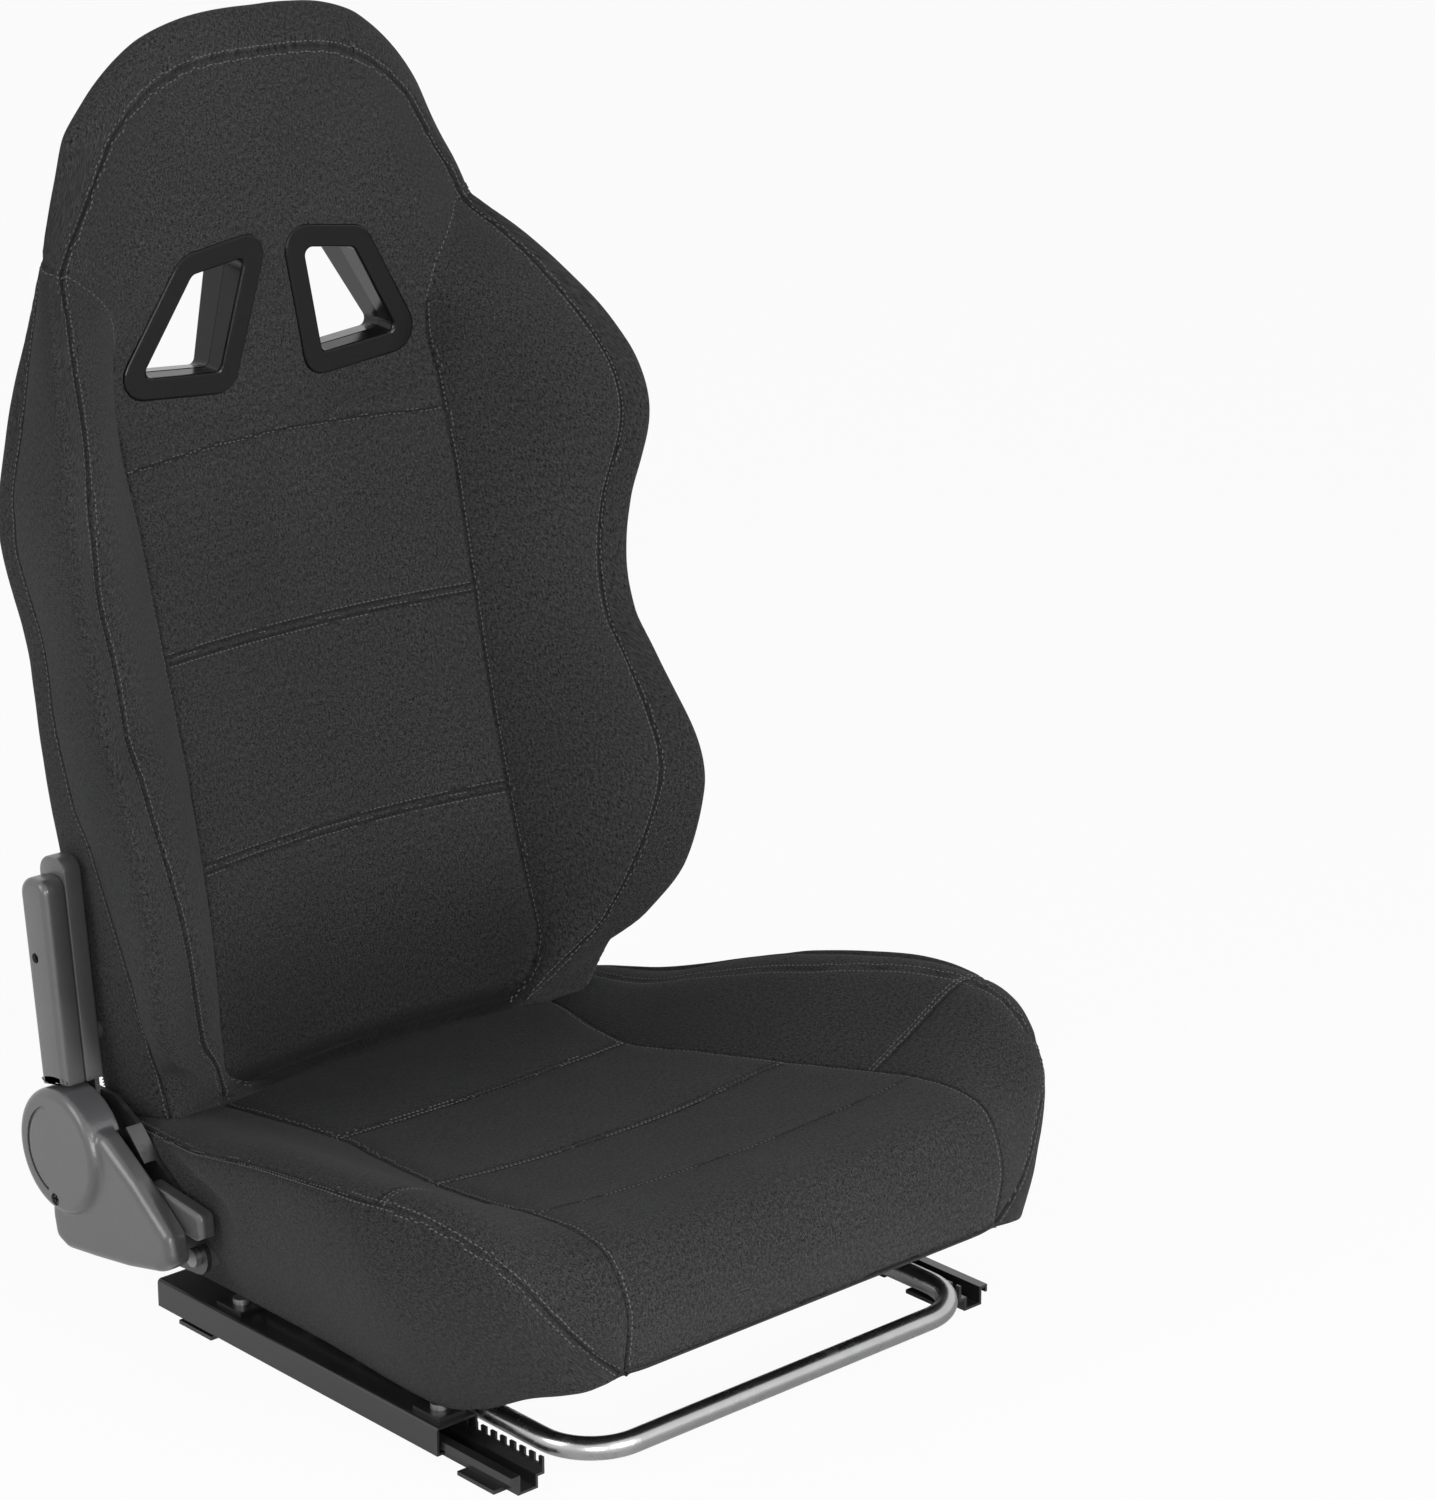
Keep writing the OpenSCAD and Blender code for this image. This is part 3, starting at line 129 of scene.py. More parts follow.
REAR_X = [[152, 234], [314, 223], [711, 180], [790, 168], [831, 159], [861, 148]]
REAR_Y = [
    [100, 260], [145, 270], [339, 313], [487, 346], [600, 371], [700, 383], [800, 390], [900, 392],
    [960, 392],
]
# how far the middle of the top edge stands above its corners, by the place round the side
RISE = [[0, 54], [0.2, 70], [0.38, 81], [0.56, 83], [0.82, 73], [1, 49]]
# heights of the backrest's lowest and highest rows, and one just below, where seams run off the edge
FOOT, TOP, BELOW = 152, 861, 150
# how far out the insert's seam lies on both cushions, and how far round the side seam lies
SPLIT = 0.6
SIDE_SEAM = 0.56
# the way the bolster's stuffing stands out of its front seam: across and forwards
CREST_OUT, CREST_FORE = 0.739, 0.674
# how far the sides lean towards +X, by height: the +X side, then the -X side
LEAN_RIGHT = [[152, -34], [182, -18], [214, -6], [300, 4], [640, 5], [720, 3], [780, 2], [861, 2]]
LEAN_LEFT = [[152, 1], [182, -1], [214, 0], [430, 0], [520, 2.5], [640, 3], [720, 0], [861, 0]]
# fold between headrest and shoulder: (x, z) along it, and how far it is drawn back
NECK = [[150, 640], [151, 700], [157, 733], [166, 750], [177, 762], [190, 771], [215, 780]]
NECK_DEEP = [0, 2, 8, 14, 19, 23, 24]


def neck_dent(x, z):
    best = np.full(x.shape, 1e9)
    deep = np.zeros(x.shape)
    for p, q, d, e in zip(NECK, NECK[1:], NECK_DEEP, NECK_DEEP[1:]):
        gap, t = to_segment(x, z, p, q)
        nearer = gap < best
        best = np.where(nearer, gap, best)
        deep = np.where(nearer, d + (e - d) * t, deep)
    return deep * np.exp(-(best / 21) ** 2)


def back_point(u, v, z):
    """u runs across from -1 to 1, v from the front seam (0) to the rear (1), z is the height."""
    full = curve(FULL, z)
    bx, by = curve(SEAM_X, z), curve(SEAM_Y, z)
    roll = 0.35 * full + 4
    kx = bx + CREST_OUT * full + CREST_FORE * roll
    ky = by - CREST_FORE * full + CREST_OUT * roll
    ax, ay = curve(SIDE_X, z), curve(SIDE_Y, z)
    rx, ry = curve(REAR_X, z), curve(REAR_Y, z)
    line_x = np.stack([bx, kx, (kx + ax) / 2 + 0.12 * full + 2, ax, curve(EDGE_X, z), rx])
    line_y = np.stack([by, ky, (ky + ay) / 2, ay, curve(EDGE_Y, z), ry])
    around = np.array(RISE)[:, 0]
    qx, qy = through(around, line_x, v), through(around, line_y, v)
    a = np.abs(u)
    ix, iy, my = curve(IN_X, z), curve(IN_Y, z), curve(MID_Y, z)
    bolster = ix / bx + (a - SPLIT) / (1 - SPLIT) * (1 - ix / bx)
    plain = np.where(a < SPLIT, a / SPLIT * ix / bx, bolster)
    mix = smooth(640, TOP, z)
    f = np.where(v > 0, a, plain * (1 - mix) + a * mix)
    up = smooth(700, TOP, z) ** 1.5
    p = np.maximum(a - SPLIT, 0) / (1 - SPLIT)
    low = np.where(
        a < SPLIT,
        my + (iy - my) * (a / SPLIT) ** 2,
        iy + (by - iy) * np.sin(math.pi / 2 * p) ** 1.15,
    )
    high = my + (by - my) * f ** 2.2
    t = smooth(690, 790, z)
    front = low * (1 - t) + high * t + smooth(790, TOP, z) * 12 * (1 - f * f)
    back = ry + 3 * (1 - f * f)
    rim = a ** 8
    between = (front + (back - front) * v * v) * (1 - rim) + qy * rim
    y = np.where(v == 0, front, np.where(v == 1, back, between))
    lift = curve(RISE, v)
    sag = 7 * v + 11 * np.sin(math.pi * np.clip(v * 1.1, 0, 1)) ** 0.8 * (1 - 1.45 * rim)
    height = z - sag * (1 - smooth(FOOT, 205, z)) + lift * (1 - f ** 3.5) * up
    y = y + neck_dent(qx * f, z) * np.where(u < 0, 0.4, 1) * (1 - smooth(0.1, 0.75, v))
    # beside the recliner the cover bulges out to the arm's cover
    bulge = np.where(u < 0, 9, 0) * np.exp(-((z - 235) / 52) ** 2) * smooth(0.5, 0.85, v) * f ** 6
    lean = np.where(u < 0, curve(LEAN_LEFT, z), curve(LEAN_RIGHT, z)) * smooth(0.75, 1, f)
    return np.stack([np.sign(u) * (qx * f + bulge) + lean, y, height], 1)


# ---- seat form, in millimetres
MID = dict(
    y=[[0, 258], [1, 225], [4, 40], [6, -107], [7, -171], [8, -222], [9, -251], [10, -268], [11, -263]],
    z=[[0, 138], [1, 146], [3, 148], [5, 160], [7, 185], [8, 192], [9, 183], [10, 148], [11, 104]],
)
INNER = dict(
    x=[[0, 165], [1, 162], [3, 142], [4, 155], [6, 180], [8, 186], [11, 181]],
    z=[[0, 138], [1, 147], [3, 151], [5, 170], [6, 182], [7, 194], [8, 196], [9, 186], [10, 150], [11, 104]],
)
CROWN = dict(
    x=[
        [0, 236], [1, 238], [2, 249], [3, 270], [4, 279], [6, 295], [7, 283], [8, 259], [10, 217],
        [11, 186],
    ],
    y=[[0, 256], [1, 225], [3, 105], [6, -107], [7, -173], [8, -226], [9, -244], [10, -257], [11, -263]],
    z=[[0, 146], [1, 151], [2, 159], [3, 176], [5, 207], [6, 218], [7, 219], [8, 193], [10, 134], [11, 104]],
)
LOWER = dict(
    x=[[0, 228], [5, 226], [8, 226], [9, 223], [10, 211], [11, 186]],
    y=[[0, 258], [1, 225], [6, -107], [7, -162], [8, -212], [9, -246], [10, -260], [11, -263]],
    z=[[0, 44], [4, 42], [6, 38], [7, 54], [8, 80], [9, 94], [10, 99], [11, 103]],
)
PLUMP = [[0, 1], [2, 5], [3, 11], [4, 14], [7, 14], [8, 10], [10, 2], [11, 0]]
# how far the stuffing stands out of the crown seam, by station; in full, on the +X and the -X side
PUFF = [
    [0, 0.2], [1, 0.5], [2, 0.75], [3, 0.75], [4, 0.95], [4.6, 1], [5.3, 1], [6, 0.7], [6.6, 0.3],
    [7.2, 0], [11, 0],
]
PUFF_WIDE, PUFF_TALL = (8, 6), (14, 7)
# the +X crown stands higher, its front corner reaches further out, and its lower edge less far
CROWN_UP = [[0, 0], [2, 3], [3, 8], [4, 13], [5.4, 13], [6.4, 8], [7.4, 3], [8.4, 0], [11, 0]]
CROWN_OUT = [[0, 0], [5, 1], [6, 4], [7, 8], [8, 9], [9, 5], [10, 0], [11, -5]]
LOWER_IN = [[0, 0], [7, 0], [9, 3], [10, 6], [11, 5]]
# y, and whether the foam is hollow there; then where across the underside that hollow begins
CEILING = [[-222, -218, 171, 175], [0, 1, 1, 0]]
HEM = [0.945, 0.955, 0.965]


def seat_point(u, v, w):
    """u runs across from -1 to 1, v from the crown seam (0) to the lower edge (1), w is the station."""
    a = np.abs(u)
    side = np.sign(u)
    (my, mz), (ix, iz), (ox, oy, oz), (lx, ly, lz) = (
        [curve(line, w) for line in form.values()] for form in (MID, INNER, CROWN, LOWER)
    )
    right = side > 0
    ox = ox + right * curve(CROWN_OUT, w)
    oz = oz + right * curve(CROWN_UP, w)
    lx = lx - right * curve(LOWER_IN, w)
    full = curve(PLUMP, w)
    f = np.minimum(a / SPLIT, 1)
    p = np.maximum((a - SPLIT) / (1 - SPLIT), 0)
    crest = full * 1.6 * p ** 3 * np.sin(math.pi * p)
    inside = a <= SPLIT
    top = np.stack([
        side * np.where(inside, ix * f, ix + (ox - ix) * p),
        np.where(inside, my, my + (oy - my) * p),
        np.where(inside, mz + (iz - mz) * f * f, iz + (oz - iz) * np.sin(math.pi / 2 * p) ** 1.2 + crest),
    ], 1)
    swell = (0.9 * full * (1 - v) + (ox - lx) * 0.16) * np.sin(math.pi * v)
    puff = curve(PUFF, w) * (v / 0.1) * np.exp(1 - v / 0.1)
    wide = np.where(right, *PUFF_WIDE) * puff
    tall = np.where(right, *PUFF_TALL) * puff
    skirt = np.stack([
        side * (ox + (lx - ox) * v + swell + wide),
        oy + (ly - oy) * v,
        oz + (lz - oz) * v + tall,
    ], 1)
    # underneath, the skirt hangs outside the frame and the foam is hollow over the springs
    hollow = np.interp(ly, CEILING[0], CEILING[1]) * (1 - smooth(HEM[0], HEM[2], a))
    roof = np.where(ly > -120, 64, 64 + 44 * np.clip((-120 - ly) / 70, 0, 1))
    under = np.stack([side * lx * a, ly, lz + np.maximum(roof - lz, 0) * hollow], 1)
    cap = top * (1 - v)[:, None] + under * v[:, None]
    cap[:, 1] += np.where(w < 5, 5, -2) * np.sin(math.pi * v) * (1 - a ** 4)
    out = np.where((v == 0)[:, None], top, np.where((v == 1)[:, None], under, cap))
    return np.where(((a == 1) & (v < 1) & (v > 0))[:, None], skirt, out)


# ---- skins
def box_rim(us, vs, ws):
    """The grid values on the outside of a box grid, and its six sides as sheets of their numbers."""
    nu, nv, nw = len(us), len(vs), len(ws)
    i, j, k = np.meshgrid(np.arange(nu), np.arange(nv), np.arange(nw), indexing="ij")
    rim = (i == 0) | (i == nu - 1) | (j == 0) | (j == nv - 1) | (k == 0) | (k == nw - 1)
    ids = np.full((nu, nv, nw), -1)
    ids[rim] = np.arange(rim.sum())
    grid = np.stack([us[i[rim]], vs[j[rim]], ws[k[rim]]], 1)
    sheets = [
        (ids[:, 0, :], True), (ids[:, -1, :], False), (ids[0, :, :], False),
        (ids[-1, :, :], True), (ids[:, :, 0], False), (ids[:, :, -1], True),
    ]
    return grid, sheets


def corners_of(sheet, turn):
    """The four corner values of each cell of a sheet, stacked along a new axis."""
    a, b, c, d = sheet[:-1, :-1], sheet[1:, :-1], sheet[1:, 1:], sheet[:-1, 1:]
    return np.stack([a, b, c, d] if turn else [a, d, c, b], 2)


def box_skin(us, vs, ws, point):
    """Closed skin over the six sides of the grid us x vs x ws: its points, quads and grid values."""
    grid, sheets = box_rim(us, vs, ws)
    places = point(*grid.T)
    quads = np.concatenate([corners_of(sheet, turn).reshape(-1, 4) for sheet, turn in sheets])
    return places, quads, grid


def point_normals(places, quads):
    p = places[quads]
    n = np.cross(p[:, 2] - p[:, 0], p[:, 3] - p[:, 1])
    out = np.zeros_like(places)
    for c in range(4):
        np.add.at(out, quads[:, c], n)
    return unit(out)


def resample(points, step):
    """Points along a polyline, evenly spaced about step apart, with their tangents."""
    run = np.concatenate([[0], np.cumsum(np.linalg.norm(np.diff(points, axis=0), axis=1))])
    count = max(int(round(run[-1] / step)), 2)
    s = np.linspace(0, run[-1], count + 1)
    line = np.stack([np.interp(s, run, column) for column in points.T], 1)
    return line, unit(np.gradient(line, axis=0)), s


def along(point, u, v, w, count=220):
    """The line on a form between or through the given grid values."""
    t = np.linspace(0, 1, count)

    def spread(values):
        values = np.array(values, float, ndmin=1)
        return np.interp(t, np.linspace(0, 1, len(values)), values)

    return point(spread(u), spread(v), spread(w))


# how many points are measured at a time
BLOCK, FEW = 4000, 60


def seam_field(places, line, reach):
    """For the points within reach of a seam: their numbers, distance across it and place along it."""
    dots, tangent, run = resample(line, 1.6)
    low, high = dots.min(0) - reach, dots.max(0) + reach
    near = np.where(((places > low) & (places < high)).all(1))[0]
    best = np.zeros(len(near), int)
    for start in range(0, len(near), BLOCK):
        part = places[near[start:start + BLOCK]]
        d2 = ((part[:, None, :] - dots[None, :, :]) ** 2).sum(-1)
        best[start:start + BLOCK] = d2.argmin(1)
    gap = places[near] - dots[best]
    lengthwise = (gap * tangent[best]).sum(1)
    across = np.linalg.norm(gap - lengthwise[:, None] * tangent[best], axis=1)
    past_end = ((best == 0) & (lengthwise < 0)) | ((best == len(dots) - 1) & (lengthwise > 0))
    across = np.where(past_end, np.linalg.norm(gap, axis=1), across)
    keep = across < reach
    return near[keep], across[keep], (run[best] + lengthwise)[keep]


def relax(places, quads, amount, rounds):
    """Evens the skin out where amount is over 0."""
    here = quads.ravel()
    beside = np.roll(quads, -1, axis=1).ravel()
    count = np.bincount(here, minlength=len(places))[:, None]
    weight = 0.5 * amount[:, None]
    for _ in range(rounds):
        mean = np.stack([np.bincount(here, places[beside, c], len(places)) for c in range(3)], 1) / count
        places = places + weight * (mean - places)
    return places


def follow(line, before, after):
    """Moves a line on a skin the way the skin beside it moved."""
    moved = after - before
    low, high = line.min(0) - 30, line.max(0) + 30
    near = np.where(((before > low) & (before < high)).all(1))[0]
    out = line.copy()
    for start in range(0, len(line), FEW):
        part = line[start:start + FEW]
        d2 = ((part[:, None, :] - before[near][None, :, :]) ** 2).sum(-1)
        best = np.argpartition(d2, 5, axis=1)[:, :5]
        share = 1 / (np.take_along_axis(d2, best, 1) + 0.5)
        share /= share.sum(1, keepdims=True)
        out[start:start + FEW] += (moved[near[best]] * share[..., None]).sum(1)
    return out


def sew_in(places, normals, seams):
    """Pulls the cover in along its seams, and puckers it beside them.

    Also gives the painted shade for each point near a seam, darkest down the middle of its groove.
    """
    depth = np.zeros(len(places))
    painted_shade = np.zeros(len(places))
    for line in seams:
        near, across, run = seam_field(places, line["line"], 26)
        pull = line["deep"] * np.exp(-(across / line["wide"]) ** 2)
        pull += line["valley"] * np.exp(-(across / line["spread"]) ** 2)
        for row in line["rows"]:
            pull += 0.35 * np.exp(-((across - abs(row)) / 0.9) ** 2)
        pucker = np.sin(run * 2 * math.pi / 11 + np.sin(run * 0.09) * 2.2) * np.sin(run * 0.031 + 1)
        pull += line["pucker"] * pucker * np.exp(-((across - 5) / 6.5) ** 2)
        depth[near] = np.maximum(depth[near], pull) + 0.15 * np.minimum(depth[near], pull)
        # painted shade down the middle of the seam's groove
        painted_shade[near] = np.maximum(painted_shade[near], SEAM_PAINTED_SHADE * np.exp(-(across / 1.5) ** 2))
    return places - normals * depth[:, None], painted_shade


def waves(places, size, seed):
    """Slow unevenness, from -1 to 1."""
    shift = Vector((seed, seed * 1.7, -seed))
    return np.array([noise.noise(Vector(p) / size + shift) for p in places])


def sewn(base, places, quads, seams, swell, loose=1):
    """The settled cover, uneven by the waves in swell (height, size, seed), then sewn along its seams."""
    for line in seams:
        line["line"] = follow(line["line"], base, places)
    normals = point_normals(places, quads)
    sway = sum(high * waves(places, size, seed) for high, size, seed in swell) * loose
    return sew_in(places + normals * sway[:, None], normals, seams)


# ---- meshes
def lone(obj):
    """Selects this object alone."""
    bpy.ops.object.select_all(action="DESELECT")
    obj.select_set(True)
    bpy.context.view_layer.objects.active = obj


def placed(name, data):
    obj = bpy.data.objects.new(name, data)
    bpy.context.scene.collection.objects.link(obj)
    return obj


def from_points(name, places, faces):
    """Object from points in millimetres."""
    mesh = bpy.data.meshes.new(name)
    mesh.from_pydata((np.asarray(places) * 0.001).tolist(), [], faces)
    return placed(name, mesh)


def cloth_piece(name, places, quads, corners, painted_shade):
    """Cover whose corners holds a texture place for each corner of each quad."""
    obj = from_points(name, places, quads.tolist())
    layer = obj.data.uv_layers.new(name="weave")
    layer.data.foreach_set("uv", corners.ravel())
    # per-point painted shade, which darkens the cloth in the seams, the lap and the crease
    shade = obj.data.attributes.new("painted_shade", "FLOAT", "POINT")
    shade.data.foreach_set("value", painted_shade)
    obj.data.shade_smooth()
    return obj


def outward(obj):
    lone(obj)
    bpy.ops.object.mode_set(mode="EDIT")
    bpy.ops.mesh.select_all(action="SELECT")
    bpy.ops.mesh.normals_make_consistent(inside=False)
    bpy.ops.object.mode_set(mode="OBJECT")
    return obj


def modify(obj, kind, **settings):
    lone(obj)
    step = obj.modifiers.new(kind.lower(), kind)
    for key, value in settings.items():
        setattr(step, key, value)
    bpy.ops.object.modifier_apply(modifier=step.name)


def carve(obj, tools, operation="DIFFERENCE"):
    for tool in tools:
        modify(obj, "BOOLEAN", operation=operation, object=tool, solver="EXACT")
        bpy.data.objects.remove(tool)
    return obj


def skin_corners(places, us, vs, ws, turn_all):
    """Texture places in metres, measured along each side of the skin, in the order of its quads."""
    out = []
    for sheet, turn in box_rim(us, vs, ws)[1]:
        p = places[sheet] * 0.001
        s, t = np.zeros((2, *sheet.shape))
        s[1:] = np.cumsum(np.linalg.norm(np.diff(p, axis=0), axis=2), axis=0)
        t[:, 1:] = np.cumsum(np.linalg.norm(np.diff(p, axis=1), axis=2), axis=1)
        s -= s[len(s) // 2]
        cells = corners_of(np.stack([s, t], -1), turn).reshape(-1, 4, 2)
        out.append(cells[:, ::-1] if turn_all else cells)
    return np.concatenate(out)


# where the grid has rows beside a seam, in millimetres
FINE = [-9, -6.5, -4.8, -3.4, -2.2, -1.1, 0, 1.1, 2.2, 3.4, 4.8, 6.5, 9]
SEAM = dict(rows=(4.2, -4.2), deep=1.5, wide=1.6, valley=1.0, spread=8, pucker=0.22)
# how dark the painted shade is in the middle of a seam's groove
SEAM_PAINTED_SHADE = 0.7


def seam(line, **other):
    """A seam along a line: its groove, the slow valley round it, and its rows of stitches."""
    return {"line": line, **SEAM, **other}


# ---- backrest cover
CHANNELS = [322, 478]
CHANNEL_HALF = 2.9
BEZEL = [[4, 782], [35, 654.5], [152, 664.5], [87, 770]]
BEZEL_R = [18, 20, 20, 26]
BEZEL_TILT = 4.9
# where along Y the bezels' flanges lie at height BEZEL_Z, and the tunnels' ends
FLANGE_FRONT, FLANGE_REAR, BEZEL_Z = 347, 386, 720
TUNNEL_Y = (300, 430)


def rounded(corners, radii, steps=8):
    out = []
    n = len(corners)
    for i in range(n):
        before, here, after = (np.array(corners[(i + d) % n], float) for d in (-1, 0, 1))
        a, b = unit(before - here), unit(after - here)
        half = math.acos(np.clip(a @ b, -1, 1)) / 2
        mid = here + unit(a + b) * radii[i] / math.sin(half)
        start = here + a * radii[i] / math.tan(half) - mid
        end = here + b * radii[i] / math.tan(half) - mid
        turn = math.atan2(start[0] * end[1] - start[1] * end[0], start @ end)
        for k in range(steps + 1):
            t = turn * k / steps
            spin = np.array([[math.cos(t), -math.sin(t)], [math.sin(t), math.cos(t)]])
            out.append(mid + spin @ start)
    return np.array(out)


def outline_distance(x, z, outline):
    """Distance to a closed outline in the x, z plane, negative inside."""
    best = np.full(len(x), 1e9)
    inside = np.zeros(len(x), bool)
    for p, q in zip(outline, np.roll(outline, -1, axis=0)):
        best = np.minimum(best, to_segment(x, z, p, q)[0])
        if p[1] != q[1]:
            meets = (q[0] - p[0]) * (z - p[1]) / (q[1] - p[1]) + p[0]
            inside ^= ((p[1] > z) != (q[1] > z)) & (x < meets)
    return np.where(inside, -best, best)


def settle_at_bezels(places, grid):
    """Lays the cover against the back of each bezel's flange, with a soft roll round it."""
    outline = rounded(BEZEL, BEZEL_R)
    tilt = math.tan(math.radians(BEZEL_TILT))
    for v, plane, out in ((0, FLANGE_FRONT, -1), (1, FLANGE_REAR, 1)):
        rows = np.where(grid[:, 1] == v)[0]
        x, y, z = places[rows].T
        gap = outline_distance(np.abs(x), z, outline)
        target = plane + out * (tilt * (z - BEZEL_Z) + 0.9)
        weight = 1 - smooth(0.5, 30, gap)
        roll = 1.5 * np.exp(-((gap - 8) / 6) ** 2)
        places[rows, 1] = y + (target - y) * weight + out * roll
    return places


def back_seams():
    bp = back_point

    def over_top(v, low):
        """Up the -X edge from a height, over the top, and down the +X edge."""
        up, down = along(bp, -1, v, [low, TOP]), along(bp, 1, v, [TOP, low])
        return np.concatenate([up, along(bp, [-1, 1], v, TOP)[1:], down[1:]])

    yield seam(over_top(0, BELOW), deep=1.9, valley=1.3, spread=9)
    yield seam(over_top(1, 655), rows=(4.2,), valley=0.6)
    insert = [-SPLIT, SPLIT]
    arch = along(bp, insert, 0, [617, 621, 623.5, 621, 617])
    yield seam(arch, rows=(0,), valley=0.5, pucker=0.1)
    for z in CHANNELS:
        for off in (-CHANNEL_HALF, CHANNEL_HALF):
            across = along(bp, insert, 0, z + off)
            yield seam(across, rows=(0,), deep=1.6, valley=1.6, spread=12)
    for s in (-1, 1):
        yield seam(along(bp, s, SIDE_SEAM, [BELOW, 770]), rows=(3.4,), valley=0.7, spread=7)
        flap = along(bp, s, 1, [BELOW, 652])
        yield seam(flap, rows=(), deep=1.2, wide=4.5, valley=0.8, pucker=0.15)
        edge = along(bp, s * SPLIT, 0, [BELOW, 700])
        yield seam(edge, rows=(-3.2 * s,), valley=1.8, spread=11)
        front = np.array(NECK[1:-1], float)
        depth = along(bp, s * np.array([0.6, 0.6, 0.72, 0.86, 1]), 0, front[:, 1], 5)[:, 1]
        front = np.stack([s * front[:, 0], depth + 1, front[:, 1]], 1)
        side = along(bp, s, [0.02, 0.3, SIDE_SEAM, 0.8, 1], [772, 775, 778, 782, 785])
        yield seam(np.concatenate([front, side]), rows=(3.4,))


def make_back_cover():
    side_us = marked(0, 1, 0.02, [SPLIT, 1], [f / 300 for f in FINE])
    us = np.concatenate([-side_us[:0:-1], side_us])
    vs = marked(0, 1, 0.026, [0, SIDE_SEAM, 1], [f / 210 for f in FINE])
    ws = marked(FOOT, TOP, 4.4, CHANNELS + [620, 767], FINE)
    base, quads, grid = box_skin(us, vs, ws, back_point)
    corners = skin_corners(base, us, vs, ws, False)
    middle, around, z = np.abs(grid[:, 0]), grid[:, 1], grid[:, 2]
    soft = smooth(805, 840, z) + 1 - smooth(162, 205, z)
    neck = smooth(690, 725, z) * (1 - smooth(785, 815, z)) * smooth(0.5, 0.62, middle)
    places = relax(base, quads, np.clip(soft, 0, 1), 44)
    places = relax(places, quads, 0.7 * neck * (1 - around), 26)
    places = settle_at_bezels(places, grid)
    seams = list(back_seams())
    places, painted_shade = sewn(base, places, quads, seams, ((0.8, 70, 3.1), (0.35, 24, 8.3)))
    # painted shade: the insert is darkened in the lap and in the crease under it, where shade falls
    lap_shade = (1 - smooth(175, 330, z)) * (1 - smooth(0.5, 0.75, middle)) * (1 - smooth(0, 0.3, around))
    crease_shade = (1 - smooth(FOOT, 190, z)) * (1 - smooth(0.05, 0.5, around))
    crease_shade *= 1 - 0.7 * smooth(0.62, 0.9, middle)
    painted_shade = np.maximum(painted_shade, np.maximum(0.6 * lap_shade, 1.05 * crease_shade))
    cover = cloth_piece("back_cover", places, quads, corners, painted_shade)
    # a tunnel behind each bezel, inside its sleeve
    outline = rounded(BEZEL, [r - 7 for r in BEZEL_R])
    centre = outline.mean(0)
    outline = centre + (outline - centre) * 0.86
    tunnels = []
    for s in (-1, 1):
        n = len(outline)
        points = [(s * x, y, z) for y in TUNNEL_Y for x, z in outline]
        faces = [[i, (i + 1) % n, (i + 1) % n + n, i + n] for i in range(n)]
        faces += [list(range(n))[::-1], list(range(n, 2 * n))]
        tunnels.append(outward(from_points("tunnel", points, faces)))
    return carve(cover, tunnels), seams


# ---- seat cover
def clear_recliner(places):
    """Keeps the cover off the recliner's plate and the lever's grip on the -X side."""
    x, y, z = places.T
    limit = np.interp(y, [30, 60, 85, 103, 120, 300], [300, 272, 257, 251.5, 247.9, 247.9])
    top = np.interp(y, [100, 112, 150, 183, 205, 233], [146, 146, 148, 154, 173, 188])
    over = np.maximum(-x - limit, 0) * (1 - smooth(-6, 12, z - top))
    return np.stack([x + over, y, z], 1)


# stations: the insert's channels and half their widths, its front seam, and the bolsters' seam
SEAT_CHANNELS = ((2.98, 0.045), (5.14, 0.042))
FRONT_SEAM = 7
CROSS = 6.35


def seat_seams():
    sp = seat_point
    insert = [-SPLIT, SPLIT]
    for w, half in SEAT_CHANNELS:
        for off in (-half, half):
            yield seam(along(sp, insert, 0, w + off), rows=(0,), valley=1.4, spread=12)
    front = along(sp, insert, 0, FRONT_SEAM)
    yield seam(front, rows=(0,), deep=1.0, valley=0.9, spread=12)
    for s in (-1, 1):
        crown = dict(rows=(4.4, -4.4), deep=1.8, valley=1.2, spread=9)
        yield seam(along(sp, s, 0, [0 if s < 0 else 7.6, 11]), **crown)
        if s > 0:
            yield seam(along(sp, [0.9, 0.88, 0.87, 0.88, 0.92, 0.97], 0, [0, 7.5]), **crown)
        inner = along(sp, s * SPLIT, 0, [0, 11])
        yield seam(inner, rows=(-3.4 * s,), deep=1.7, valley=1.8, spread=11)
        yield seam(along(sp, [s * SPLIT, s], 0, CROSS), rows=(3.2, 7.5), valley=0.6)


